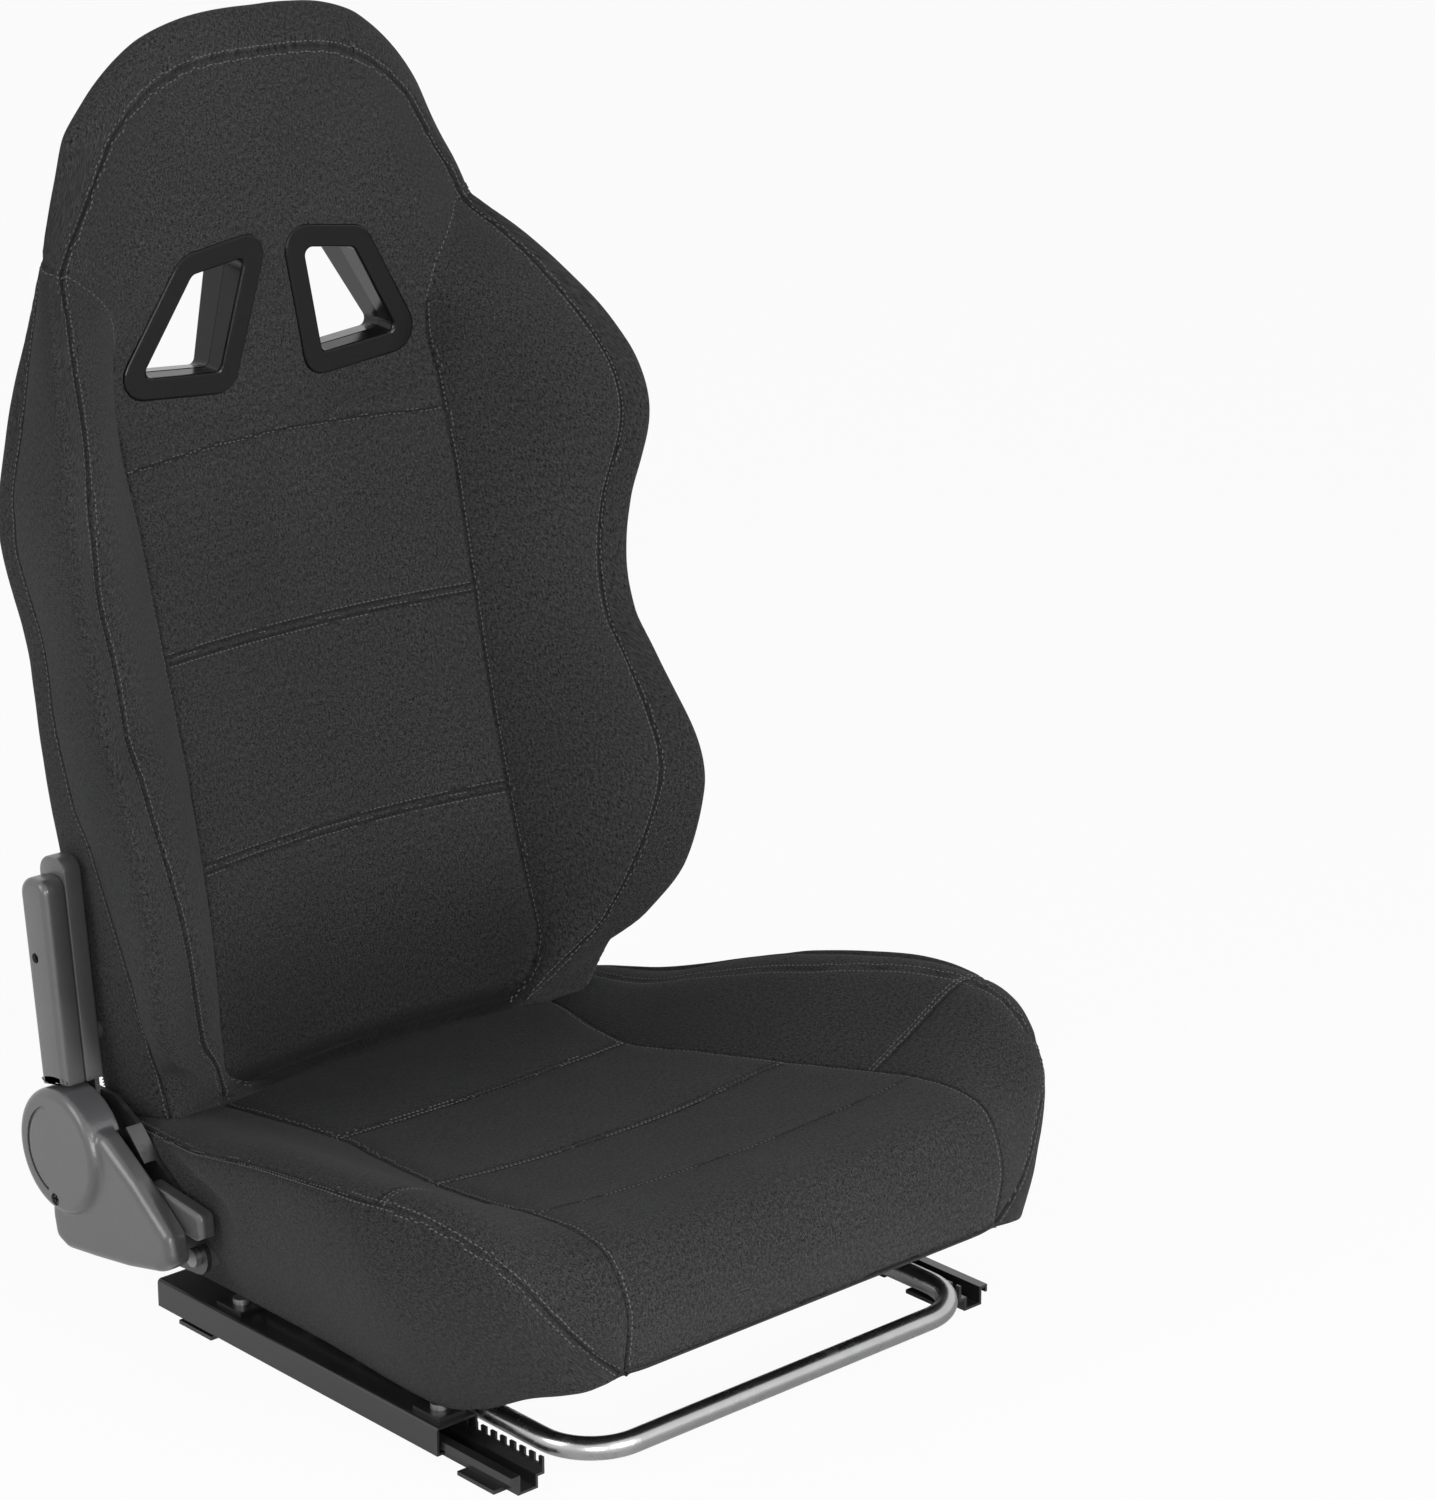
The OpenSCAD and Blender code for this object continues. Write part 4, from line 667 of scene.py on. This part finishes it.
def make_seat_cover():
    side_us = marked(0, 1, 0.02, [SPLIT, 1], [f / 330 for f in FINE])
    side_us = np.array(sorted(set(side_us) | set(HEM)))
    us = np.concatenate([-side_us[:0:-1], side_us])
    vs = marked(0, 1, 0.035, [0], [f / 160 for f in FINE])
    marks = [w for w, _ in SEAT_CHANNELS] + [FRONT_SEAM, CROSS]
    ws = marked(0, 11, 0.09, marks, [f / 62 for f in FINE])
    base, quads, grid = box_skin(us, vs, ws, seat_point)
    quads = quads[:, ::-1]
    corners = skin_corners(base, us, vs, ws, True)
    places = clear_recliner(base)
    beside = smooth(0.2, 2, np.linalg.norm(places - base, axis=1))
    places = relax(places, quads, 0.8 * beside, 14)
    seams = list(seat_seams())
    swell = ((1.0, 80, 5.7), (0.4, 26, 1.3))
    middle, down, station = np.abs(grid[:, 0]), grid[:, 1], grid[:, 2]
    places, painted_shade = sewn(base, places, quads, seams, swell, down < 1)
    # painted shade: the insert is darkened in the lap and in the crease at its rear, where shade falls
    lap_shade = (1 - smooth(1.0, 6.6, station)) * (1 - smooth(0.62, 1, middle)) * (1 - smooth(0, 0.2, down))
    crease_shade = (1 - smooth(0.5, 2.2, station)) * (1 - smooth(0.6, 0.85, middle)) * (down < 1)
    painted_shade = np.maximum(painted_shade, np.maximum(0.8 * lap_shade, 1.05 * crease_shade))
    return cloth_piece("seat_cover", places, quads, corners, painted_shade), seams


# ---- stitches
# length, width and thickness
STITCH = (2.7, 1.05, 0.7)
STITCH_PITCH = 4.2
ZIP_TOOTH = (1.3, 5.0, 1.6)
ZIP_PITCH = 2.3
# in metres: what is further from the cover is left out
STITCH_REACH = 0.012


def one_stitch():
    """Points and faces of a ball with a radius of 1 and its poles along X."""
    bpy.ops.mesh.primitive_uv_sphere_add(segments=6, ring_count=4, radius=1)
    obj = bpy.context.object
    x, y, z = np.array([v.co for v in obj.data.vertices]).T
    faces = [list(p.vertices) for p in obj.data.polygons]
    bpy.data.objects.remove(obj)
    return np.stack([z, y, -x], 1), faces


def stitch_piece(name, cover, rows, size):
    """rows holds (line, sideways offset, pitch); each stitch lies on the cover, along its row."""
    points, faces = one_stitch()
    points = points * (np.array(size) / 2)
    mesh = cover.data
    tree = BVHTree.FromPolygons([v.co for v in mesh.vertices], [list(p.vertices) for p in mesh.polygons])
    all_points, all_faces = [], []
    for line, offset, pitch in rows:
        dots, tangent, _ = resample(line, pitch)
        for d, t in zip(dots[:-1], tangent[:-1]):
            normal = tree.find_nearest(Vector(d * 0.001))[1]
            t = Vector(t)
            cross = normal.cross(t).normalized()
            spot, normal, _, far = tree.find_nearest(Vector(d * 0.001) + cross * offset * 0.001)
            if far > STITCH_REACH:
                continue
            ahead = (t - normal * t.dot(normal)).normalized()
            turn = np.array([ahead, normal.cross(ahead).normalized(), normal])
            start = len(all_points) * len(points)
            all_points.append(points @ turn + np.array(spot) * 1000)
            all_faces.extend([[start + i for i in f] for f in faces])
    obj = from_points(name, np.concatenate(all_points), all_faces)
    obj.data.shade_smooth()
    return obj


def seam_rows(seams):
    return [(s["line"], row, STITCH_PITCH) for s in seams for row in s["rows"]]


# ---- recliner covers
PIVOT = np.array([256.0, 133.0])
DISC = 49
SHELL = [
    [120, 84], [138, 72], [180, 62.5], [222, 56], [257, 51.5], [272, 57], [276.5, 78], [270, 118],
    [214, 160], [205, 158], [166, 135], [143, 118], [125, 105],
]
SHELL_R = [9, 20, 60, 60, 9, 9, 30, 12, 5, 6, 40, 30, 9]
SCREW = np.array([259.0, 94.0])
ARM = [[270, 140], [297, 318], [292, 334], [274, 334], [268, 322], [246, 140]]
ARM_BOLTS = [[268, 216], [284, 300]]
ARM_SCREW = [281, 279]
ARM_COVER = [[252.5, 185], [271, 354.5], [301, 352], [282, 185]]
# where along X the moulded parts begin and end
BODY_IN, BODY_OUT = -268.5, -286.5
DISC_IN, DISC_OUT = -262, -292.6
ARM_IN, ARM_SPLIT, ARM_OUT = -249.3, -266, -285
WALL = 2.8
FOOT_GAP = 2.4


def ring_of(corners, radii, step=2.0):
    """Closed outline in the y, z plane with rounded corners and even points, running anticlockwise."""
    ring = rounded(corners, radii)
    ring = resample(np.vstack([ring, ring[:1]]), step)[0][:-1]
    after = np.roll(ring, -1, axis=0)
    area = (ring[:, 0] * after[:, 1] - after[:, 0] * ring[:, 1]).sum()
    return ring if area > 0 else ring[::-1]


def round_ring(centre, radius, count=72):
    t = np.arange(count) * 2 * math.pi / count
    return np.array(centre) + radius * np.stack([np.cos(t), np.sin(t)], 1)


def drawn_in(ring, by):
    """The outline moved inwards."""
    tangent = unit(np.roll(ring, -1, axis=0) - np.roll(ring, 1, axis=0))
    return ring + by * np.stack([-tangent[:, 1], tangent[:, 0]], 1)


def moulding(name, ring, x0, x1, r0=0.0, r1=0.0):
    """Solid between x0 and x1 (x1 is further out, more negative) with rounded rims r0 and r1."""
    stations = []
    for r, x, out in ((r0, x0, 1), (r1, x1, -1)):
        steps = 7 if r > 2 else 3 if r > 0 else 1
        here = []
        for k in range(steps):
            t = math.pi / 2 * (k / (steps - 1) if steps > 1 else 1)
            here.append((x - out * r * (1 - math.cos(t)), r * (1 - math.sin(t))))
        stations.extend(here if out > 0 else here[::-1])
    n = len(ring)
    points = np.concatenate([
        np.column_stack([np.full(n, x), drawn_in(ring, by)]) for x, by in stations
    ])
    faces = [list(range(n)), [len(points) - 1 - i for i in range(n)]]
    for k in range(len(stations) - 1):
        a, b = k * n, (k + 1) * n
        faces += [[a + (i + 1) % n, a + i, b + i, b + (i + 1) % n] for i in range(n)]
    return outward(from_points(name, points, faces))


def joined(name, parts):
    """The parts as one object."""
    lone(parts[0])
    for part in parts[1:]:
        part.select_set(True)
    bpy.ops.object.join()
    parts[0].name = name
    return parts[0]


def make_lower_cover():
    body = ring_of(SHELL, SHELL_R)
    disc = round_ring(PIVOT, DISC)
    cover = joined("recliner_cover", [
        moulding("body", body, BODY_IN, BODY_OUT, 0, 8), moulding("disc", disc, DISC_IN, DISC_OUT, 0, 6.5),
    ])
    modify(cover, "REMESH", mode="VOXEL", voxel_size=0.0011, use_smooth_shade=True)
    modify(cover, "SMOOTH", factor=0.5, iterations=9)
    turn = np.radians(np.linspace(72, -72, 40))
    edge = np.stack([np.cos(turn), np.sin(turn)], 1)
    crescent = np.concatenate([PIVOT + 36.2 * edge, PIVOT + 33.4 * edge[::-1]])
    carve(cover, [
        moulding("hollow", drawn_in(body, WALL), -255, -283.6, 0, 5),
        moulding("hollow", round_ring(PIVOT, DISC - 3), -250, -289.4, 0, 4),
    ])
    carve(cover, [moulding("boss", round_ring(SCREW, 5.6, 32), -265.2, -290.5)], "UNION")
    return carve(cover, [
        moulding("groove", crescent, -291.2, -296),
        moulding("hole", round_ring(SCREW, 2.6, 32), -260, -296),
        moulding("hole", round_ring(SCREW, 4.85, 32), -288.5, -296),
    ])


def arm_ring(front, drop, radii):
    """Outline of the arm's cover: its foot is an arc round the pivot, just clear of the disc."""
    corners = np.array(ARM_COVER, float)
    corners[:2, 0] -= front
    corners[1:3] -= unit(corners[1] - corners[0]) * drop
    feet = []
    for low, high in ((corners[0], corners[1]), (corners[3], corners[2])):
        t = np.linspace(-0.3, 0.6, 400)[:, None]
        line = low + (high - low) * t
        feet.append(line[np.abs(np.linalg.norm(line - PIVOT, axis=1) - DISC - FOOT_GAP).argmin()])
    turn = [math.atan2(*(f - PIVOT)[::-1]) for f in feet]
    turns = np.linspace(turn[1], turn[0], 9)
    foot = [PIVOT + (DISC + FOOT_GAP) * np.array([math.cos(t), math.sin(t)]) for t in turns]
    outline = [corners[1], corners[2]] + foot
    return ring_of(outline, list(radii) + [1.5] + [0.5] * 7 + [1.5], 1.6)


def make_arm_covers():
    tall = arm_ring(2.8, 0, (11, 14))
    short = arm_ring(2.2, 13, (10, 13))
    inner = moulding("arm_shell_inner", tall, ARM_IN, ARM_SPLIT + 0.4, 3, 1.6)
    arm = ring_of(ARM, [1, 6, 6, 6, 6, 1])
    carve(inner, [moulding("pocket", drawn_in(arm, -0.4), -252.2, ARM_SPLIT - 4)])
    carve(inner, [moulding("bore", round_ring(spot, 8.4, 32), -251, ARM_SPLIT - 4) for spot in ARM_BOLTS])
    outer = moulding("arm_shell_outer", short, ARM_SPLIT - 0.4, ARM_OUT, 1.2, 5.5)
    carve(outer, [
        moulding("hollow", drawn_in(short, 2.4), -260, ARM_OUT + 2.6, 0, 3),
        moulding("hole", round_ring(ARM_SCREW, 4, 32), ARM_OUT + 5, ARM_OUT - 5),
    ])
    for shell in (inner, outer):
        shell.data.shade_smooth()
        shell.data.set_sharp_from_angle(angle=math.radians(38))
    return inner, outer


# ---- finishes
def operator(operation, swapped=False):
    """Method that adds a Math node for an operator; swapped is for its reflected form."""

    def method(self, other):
        return self.maths(operation, *((other, self) if swapped else (self, other)))

    return method


class Wire:
    """An output of a finish's nodes. Arithmetic on it adds Math nodes."""

    __add__, __radd__ = operator("ADD"), operator("ADD", True)
    __sub__, __rsub__ = operator("SUBTRACT"), operator("SUBTRACT", True)
    __mul__, __rmul__ = operator("MULTIPLY"), operator("MULTIPLY", True)
    __truediv__, __rtruediv__ = operator("DIVIDE"), operator("DIVIDE", True)

    def __init__(self, finish, socket):
        self.finish = finish
        self.socket = socket

    def maths(self, operation, *inputs):
        values = {f"n{i}": value for i, value in enumerate(inputs)}
        return self.finish.node("Math", {"operation": operation}, **values)

    def sine(self):
        return self.maths("SINE", self)

    def above(self, level):
        return self.maths("GREATER_THAN", self, level)

    def clamped(self):
        return self.finish.node("Clamp", Value=self)


class Finish:
    """One material: a Principled shader and the nodes that feed it."""

    def __init__(self, name, **constants):
        self.material = bpy.data.materials.new(name)
        self.material.use_nodes = True
        self.tree = self.material.node_tree
        self.shader = self.tree.nodes["Principled BSDF"]
        for key, value in constants.items():
            self.shader.inputs[key.replace("_", " ")].default_value = value

    def feed(self, slot, value):
        if isinstance(value, Wire):
            self.tree.links.new(value.socket, slot)
        elif isinstance(value, (tuple, list)) and slot.type == "RGBA" and len(value) == 3:
            slot.default_value = (*value, 1)
        else:
            slot.default_value = value

    def node(self, kind, settings=None, output=0, **inputs):
        """New node; its inputs go by name, or by number as n0, n1 and so on."""
        node = self.tree.nodes.new("ShaderNode" + kind)
        for key, value in (settings or {}).items():
            setattr(node, key, value)
        for key, value in inputs.items():
            key = key.replace("_", " ")
            numbered = key[0] == "n" and key[1:].isdigit()
            self.feed(node.inputs[int(key[1:]) if numbered else key], value)
        return Wire(self, node.outputs[output])

    def parts(self, vector):
        split = self.node("SeparateXYZ", Vector=vector).socket.node
        return [Wire(self, socket) for socket in split.outputs]

    def place(self, scale=(1, 1, 1), turn=(0, 0, 0)):
        spot = self.node("TexCoord", output="Object")
        return self.node("Mapping", Vector=spot, Scale=scale, Rotation=turn)

    def noise(self, where, scale, detail=2.0, rough=0.5):
        return self.node("TexNoise", Vector=where, Scale=scale, Detail=detail, Roughness=rough)

    def blend(self, amount, first, second):
        return self.node("Mix", {"data_type": "RGBA"}, output=2, n0=amount, n6=first, n7=second)

    def grey(self, level, blue=1.0):
        """A grey of this level, a little bluer where blue is over 1."""
        return self.node("CombineColor", Red=level, Green=level, Blue=level * blue)

    def bump(self, height, strength, distance):
        self.put("Normal", self.node("Bump", Strength=strength, Distance=distance, Height=height))

    def put(self, name, value):
        self.feed(self.shader.inputs[name], value)


TWILL = 0.038


def wash(wire, low, high):
    return (wire - low) / (high - low)


def cloth_finish():
    """Charcoal twill: fine diagonal ribs, flecked yarn, faint pilling and lint, with painted shade in its
    seams, lap and crease.
    """
    f = Finish("charcoal_twill", Specular_IOR_Level=0.15, Sheen_Weight=0.08, Sheen_Roughness=0.5)
    f.shader.inputs["Sheen Tint"].default_value = (0.75, 0.76, 0.8, 1)
    weave = f.node("UVMap", {"uv_map": "weave"})
    x, y, _ = f.parts(weave)
    fleck = f.noise(weave, 620, 3, 0.8) - 0.5
    fuzz = f.noise(weave, 300, 2, 0.7) - 0.5
    yarn = f.noise(f.node("Mapping", Vector=weave, Scale=(640, 210, 1)), 1.0, 2, 0.7) - 0.5
    wobble = f.noise(weave, 45, 1) * 0.9
    rib = ((x * 0.94 + y) * (2 * math.pi / 0.0021) + wobble).sine()
    cross = ((y * 0.94 - x) * (2 * math.pi / 0.0034)).sine()
    cloud = f.noise(f.place(), 9, 3, 0.55)
    broad = f.noise(f.place(), 2.6, 1)
    tone = (0.94 + fleck * 5.2 + fuzz * 1.6 + yarn * 2.2 + rib * 0.08) * (0.74 + cloud * 0.34 + broad * 0.18)
    # painted shade: the cover's per-point attribute darkens the weave in the seams, the lap and the crease
    painted_shade = f.node("Attribute", {"attribute_name": "painted_shade"}, output="Fac")
    tone = tone * (1 - painted_shade * 0.8)
    speck = f.node("TexVoronoi", Vector=weave, Scale=85, Randomness=1.0)
    rare = f.noise(weave, 31, 0).above(0.68)
    dot = (1 - speck * 9).clamped() * rare
    level = (tone * TWILL).clamped()
    f.put("Base Color", f.blend(dot * 0.3, f.grey(level, 1.02), (0.16, 0.16, 0.17)))
    f.put("Roughness", (0.86 + fleck * 0.3).clamped())
    f.bump(rib * 0.4 + cross * 0.2 + fleck * 3.0 + fuzz * 2.2 + yarn * 1.6, 0.6, 0.0005)
    return f.material


def thread_finish():
    f = Finish("grey_thread", Roughness=0.6, Sheen_Weight=0.2)
    grain = f.noise(f.place(), 900, 2)
    f.put("Base Color", f.grey(0.06 + grain * 0.09, 1.03))
    f.bump(grain, 0.3, 0.0002)
    return f.material


def plastic_finish(name, tone, rough, grain_size, grain_depth, coat=0.0, specular=0.5):
    """Moulded plastic: fine grain, faint flow marks and a little handling shine."""
    f = Finish(name, Specular_IOR_Level=specular, Coat_Weight=coat, Coat_Roughness=0.25)
    spot = f.place()
    grain = f.noise(spot, grain_size, 3, 0.6)
    cells = f.node("TexVoronoi", {"feature": "SMOOTH_F1"}, Vector=spot, Scale=grain_size * 0.75)
    flow = f.noise(f.place((1, 1, 3.5)), 16, 3, 0.5)
    rub = f.noise(spot, 38, 4, 0.62)
    level = 0.86 + flow * 0.2 + grain * 0.08
    f.put("Base Color", f.grey(level * tone, 1.04))
    f.put("Roughness", (rough - 0.09 + rub * 0.14 + grain * 0.05).clamped())
    f.bump(grain * 0.5 + cells * 0.9, 0.35, grain_depth)
    return f.material


def paint_finish():
    """Black baked paint on pressed steel, worn a little along the runs."""
    f = Finish("black_paint", Specular_IOR_Level=0.55, Coat_Weight=0.35, Coat_Roughness=0.12)
    spot = f.place()
    peel = f.noise(spot, 260, 2)
    dust = f.noise(spot, 22, 4, 0.6)
    streak = f.noise(f.place((14, 1.2, 14)), 20, 3, 0.6)
    worn = wash(streak, 0.64, 0.78).clamped() * wash(dust, 0.45, 0.7).clamped()
    level = 0.009 + dust * 0.012
    shade = f.node("CombineColor", Red=level, Green=level, Blue=level + 0.0005)
    f.put("Base Color", f.blend(worn * 0.45, shade, (0.12, 0.12, 0.125)))
    f.put("Roughness", 0.24 + dust * 0.2 + worn * 0.15)
    f.put("Metallic", worn * 0.6)
    f.bump(peel * 0.6 + dust * 0.5, 0.16, 0.0004)
    return f.material


def bare_finish(name, tone, rough, stretch):
    """Bright steel, drawn along one direction, with faint scuffs."""
    f = Finish(name, Metallic=1.0, Specular_IOR_Level=0.5)
    drawn = f.noise(f.place(stretch), 60, 4, 0.6)
    scuff = f.noise(f.place(), 55, 4, 0.65)
    mark = wash(scuff, 0.58, 0.75).clamped()
    level = 0.86 + drawn * 0.2 - mark * 0.18
    f.put("Base Color", f.grey(level * tone, 1.01))
    f.put("Roughness", rough + drawn * 0.1 + mark * 0.18)
    f.bump(drawn * 0.6 + scuff * 0.3, 0.06, 0.0003)
    return f.material


def zinc_finish():
    """Zinc plate: pale, slightly cloudy, with a faint spangle."""
    f = Finish("zinc_plate", Metallic=0.9)
    spot = f.place()
    spangle = f.node("TexVoronoi", Vector=spot, Scale=420)
    cloud = f.noise(spot, 60, 4, 0.6)
    level = 0.2 + cloud * 0.16 + spangle * 0.05
    f.put("Base Color", f.grey(level, 1.02))
    f.put("Roughness", 0.3 + cloud * 0.25)
    f.bump(cloud, 0.15, 0.0003)
    return f.material


def dress(obj, material):
    obj.data.materials.clear()
    obj.data.materials.append(material)


def finish_piece(obj, material, body):
    dress(obj, material)
    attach(obj, body)


# ---- the seat
cloth = cloth_finish()
thread = thread_finish()
cover_plastic = plastic_finish("grained_plastic", 0.082, 0.34, 620, 0.0003, coat=0.35, specular=0.85)
bezel_plastic = plastic_finish("satin_plastic", 0.007, 0.2, 900, 0.0001, specular=0.26)
glide = plastic_finish("glide_plastic", 0.03, 0.5, 500, 0.0003)
paint = paint_finish()
bright = bare_finish("polished_tube", 0.5, 0.2, (1, 1.4, 1.4))
steel = bare_finish("pressed_steel", 0.42, 0.2, (8, 1, 8))
dull = bare_finish("dull_steel", 0.12, 0.38, (3, 1, 3))
zinc = zinc_finish()

both_rails = ("lower_rail_left", "lower_rail_right", "upper_rail_left", "upper_rail_right")
bezels = ("bezel_front_left", "bezel_front_right", "bezel_rear_left", "bezel_rear_right")
for material, nodes in (
    (paint, both_rails + ("seat_frame", "back_frame", "bar_brackets")),
    (paint, ("hinge_plate", "hinge_arm", "latch_left", "latch_right")),
    (dull, ("recliner_base", "recliner_arm", "lever_plate")),
    (zinc, ("recliner_bolts", "frame_bolts", "hinge_bolts", "arm_bolts", "bar_pins", "lever_pin")),
    (steel, ("pivot_pin_left", "pivot_pin_right", "seat_springs", "recline_spring")),
    (cover_plastic, ("lever_grip",)),
    (bezel_plastic, bezels + ("cover_screw",)),
    (bright, ("slide_bar",)),
    (glide, ("rail_glides",)),
):
    for node in nodes:
        dress(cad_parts[node], material)

back, back_lines = make_back_cover()
finish_piece(back, cloth, "backrest")
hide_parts("back_cushion")
back_stitching = stitch_piece("back_stitching", back, seam_rows(back_lines), STITCH)
finish_piece(back_stitching, thread, "backrest")
zips = [(along(back_point, s, 1, [BELOW, 650]), 0, ZIP_PITCH) for s in (-1, 1)]
back_zips = stitch_piece("back_zips", back, zips, ZIP_TOOTH)
finish_piece(back_zips, bezel_plastic, "backrest")

seat, seat_lines = make_seat_cover()
finish_piece(seat, cloth, "seat_base")
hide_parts("seat_cushion")
seat_stitching = stitch_piece("seat_stitching", seat, seam_rows(seat_lines), STITCH)
finish_piece(seat_stitching, thread, "seat_base")

low_shell = make_lower_cover()
finish_piece(low_shell, cover_plastic, "seat_base")
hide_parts("lower_cover")
arm_inner, arm_outer = make_arm_covers()
finish_piece(arm_inner, cover_plastic, "backrest")
finish_piece(arm_outer, cover_plastic, "backrest")
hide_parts("arm_cover_inner")
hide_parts("arm_cover_outer")


# ---- floor, light and camera
def floor_finish():
    f = Finish("pale_floor", Roughness=0.7, Specular_IOR_Level=0.2)
    grain = f.noise(f.place(), 3, 2)
    f.put("Base Color", f.grey(0.9 + grain * 0.02))
    glow = f.node("Emission", Color=(1, 1, 1), Strength=1.0)
    # seen in a glossy surface, the floor is bright behind the seat's -X side and dim in front of it
    x, y, _ = f.parts(f.node("TexCoord", output="Object"))
    behind = ((y - x) * 0.9 + 0.15).clamped()
    mirrored = f.node("LightPath", output="Is Glossy Ray") * behind
    seen = f.node("LightPath", output="Is Camera Ray") + mirrored
    lit = Wire(f, f.shader.outputs[0])
    mixed = f.node("MixShader", n0=seen.clamped() * 0.95, n1=lit, n2=glow)
    f.feed(f.tree.nodes["Material Output"].inputs["Surface"], mixed)
    return f.material


bpy.ops.mesh.primitive_plane_add(size=24, location=(0, 0, -0.0005))
floor = bpy.context.object
floor.name = "floor"
bpy.ops.object.mode_set(mode="EDIT")
bpy.ops.mesh.select_all(action="SELECT")
bpy.ops.mesh.subdivide(number_cuts=3)
bpy.ops.object.mode_set(mode="OBJECT")
bpy.ops.object.transform_apply(location=True, rotation=True, scale=True)
floor.data.materials.append(floor_finish())

world = bpy.data.worlds.new("studio")
bpy.context.scene.world = world
world.use_nodes = True
wt = world.node_tree
light_path = wt.nodes.new("ShaderNodeLightPath")
ambient = wt.nodes["Background"]
white = wt.nodes.new("ShaderNodeBackground")
for background, strength in ((ambient, 0.07), (white, 1.0)):
    background.inputs["Color"].default_value = (1, 1, 1, 1)
    background.inputs["Strength"].default_value = strength
# what the camera sees, directly or in a glossy surface, is white; the light it gives is faint
either = light_path.outputs["Is Camera Ray"]
for ray in ("Is Glossy Ray", "Is Transmission Ray"):
    larger = wt.nodes.new("ShaderNodeMath")
    larger.operation = "MAXIMUM"
    wt.links.new(either, larger.inputs[0])
    wt.links.new(light_path.outputs[ray], larger.inputs[1])
    either = larger.outputs[0]
mixer = wt.nodes.new("ShaderNodeMixShader")
for slot, wire in zip(mixer.inputs, (either, ambient.outputs[0], white.outputs[0])):
    wt.links.new(wire, slot)
wt.links.new(mixer.outputs[0], wt.nodes["World Output"].inputs["Surface"])


LAMP_AIM = 0.4


def lamp(name, azimuth, elevation, far, size, watts):
    """Soft lamp that faces the seat; azimuth 0 is in front of it and -90 on its -X side."""
    a, e = math.radians(azimuth), math.radians(elevation)
    away = Vector((math.sin(a) * math.cos(e), -math.cos(a) * math.cos(e), math.sin(e)))
    light = bpy.data.lights.new(name, "AREA")
    light.shape = "RECTANGLE"
    light.size, light.size_y = size
    light.energy = watts
    obj = placed(name, light)
    obj.location = Vector((0, 0, LAMP_AIM)) + away * far
    obj.rotation_euler = away.to_track_quat("Z", "Y").to_euler()


lamp("key", 6, 17, 3.2, (1.3, 1.3), 62)
lamp("front_left", -36, 11, 4.6, (1.6, 1.6), 62)
lamp("left", -101, 30, 3.0, (1.4, 1.8), 27)
lamp("top", 20, 62, 3.2, (1.4, 1.4), 4)

camera = placed("camera", bpy.data.cameras.new("camera"))
camera.location = (-2.00708, -2.35701, 1.47028)
azimuth, elevation = math.radians(-42.363), math.radians(18.307)
camera.rotation_euler = (math.pi / 2 - elevation, 0, azimuth)
camera.data.lens = 107.83
camera.data.sensor_width = 36
camera.data.sensor_fit = "AUTO"
bpy.context.scene.camera = camera
bpy.context.scene.view_settings.view_transform = "Standard"
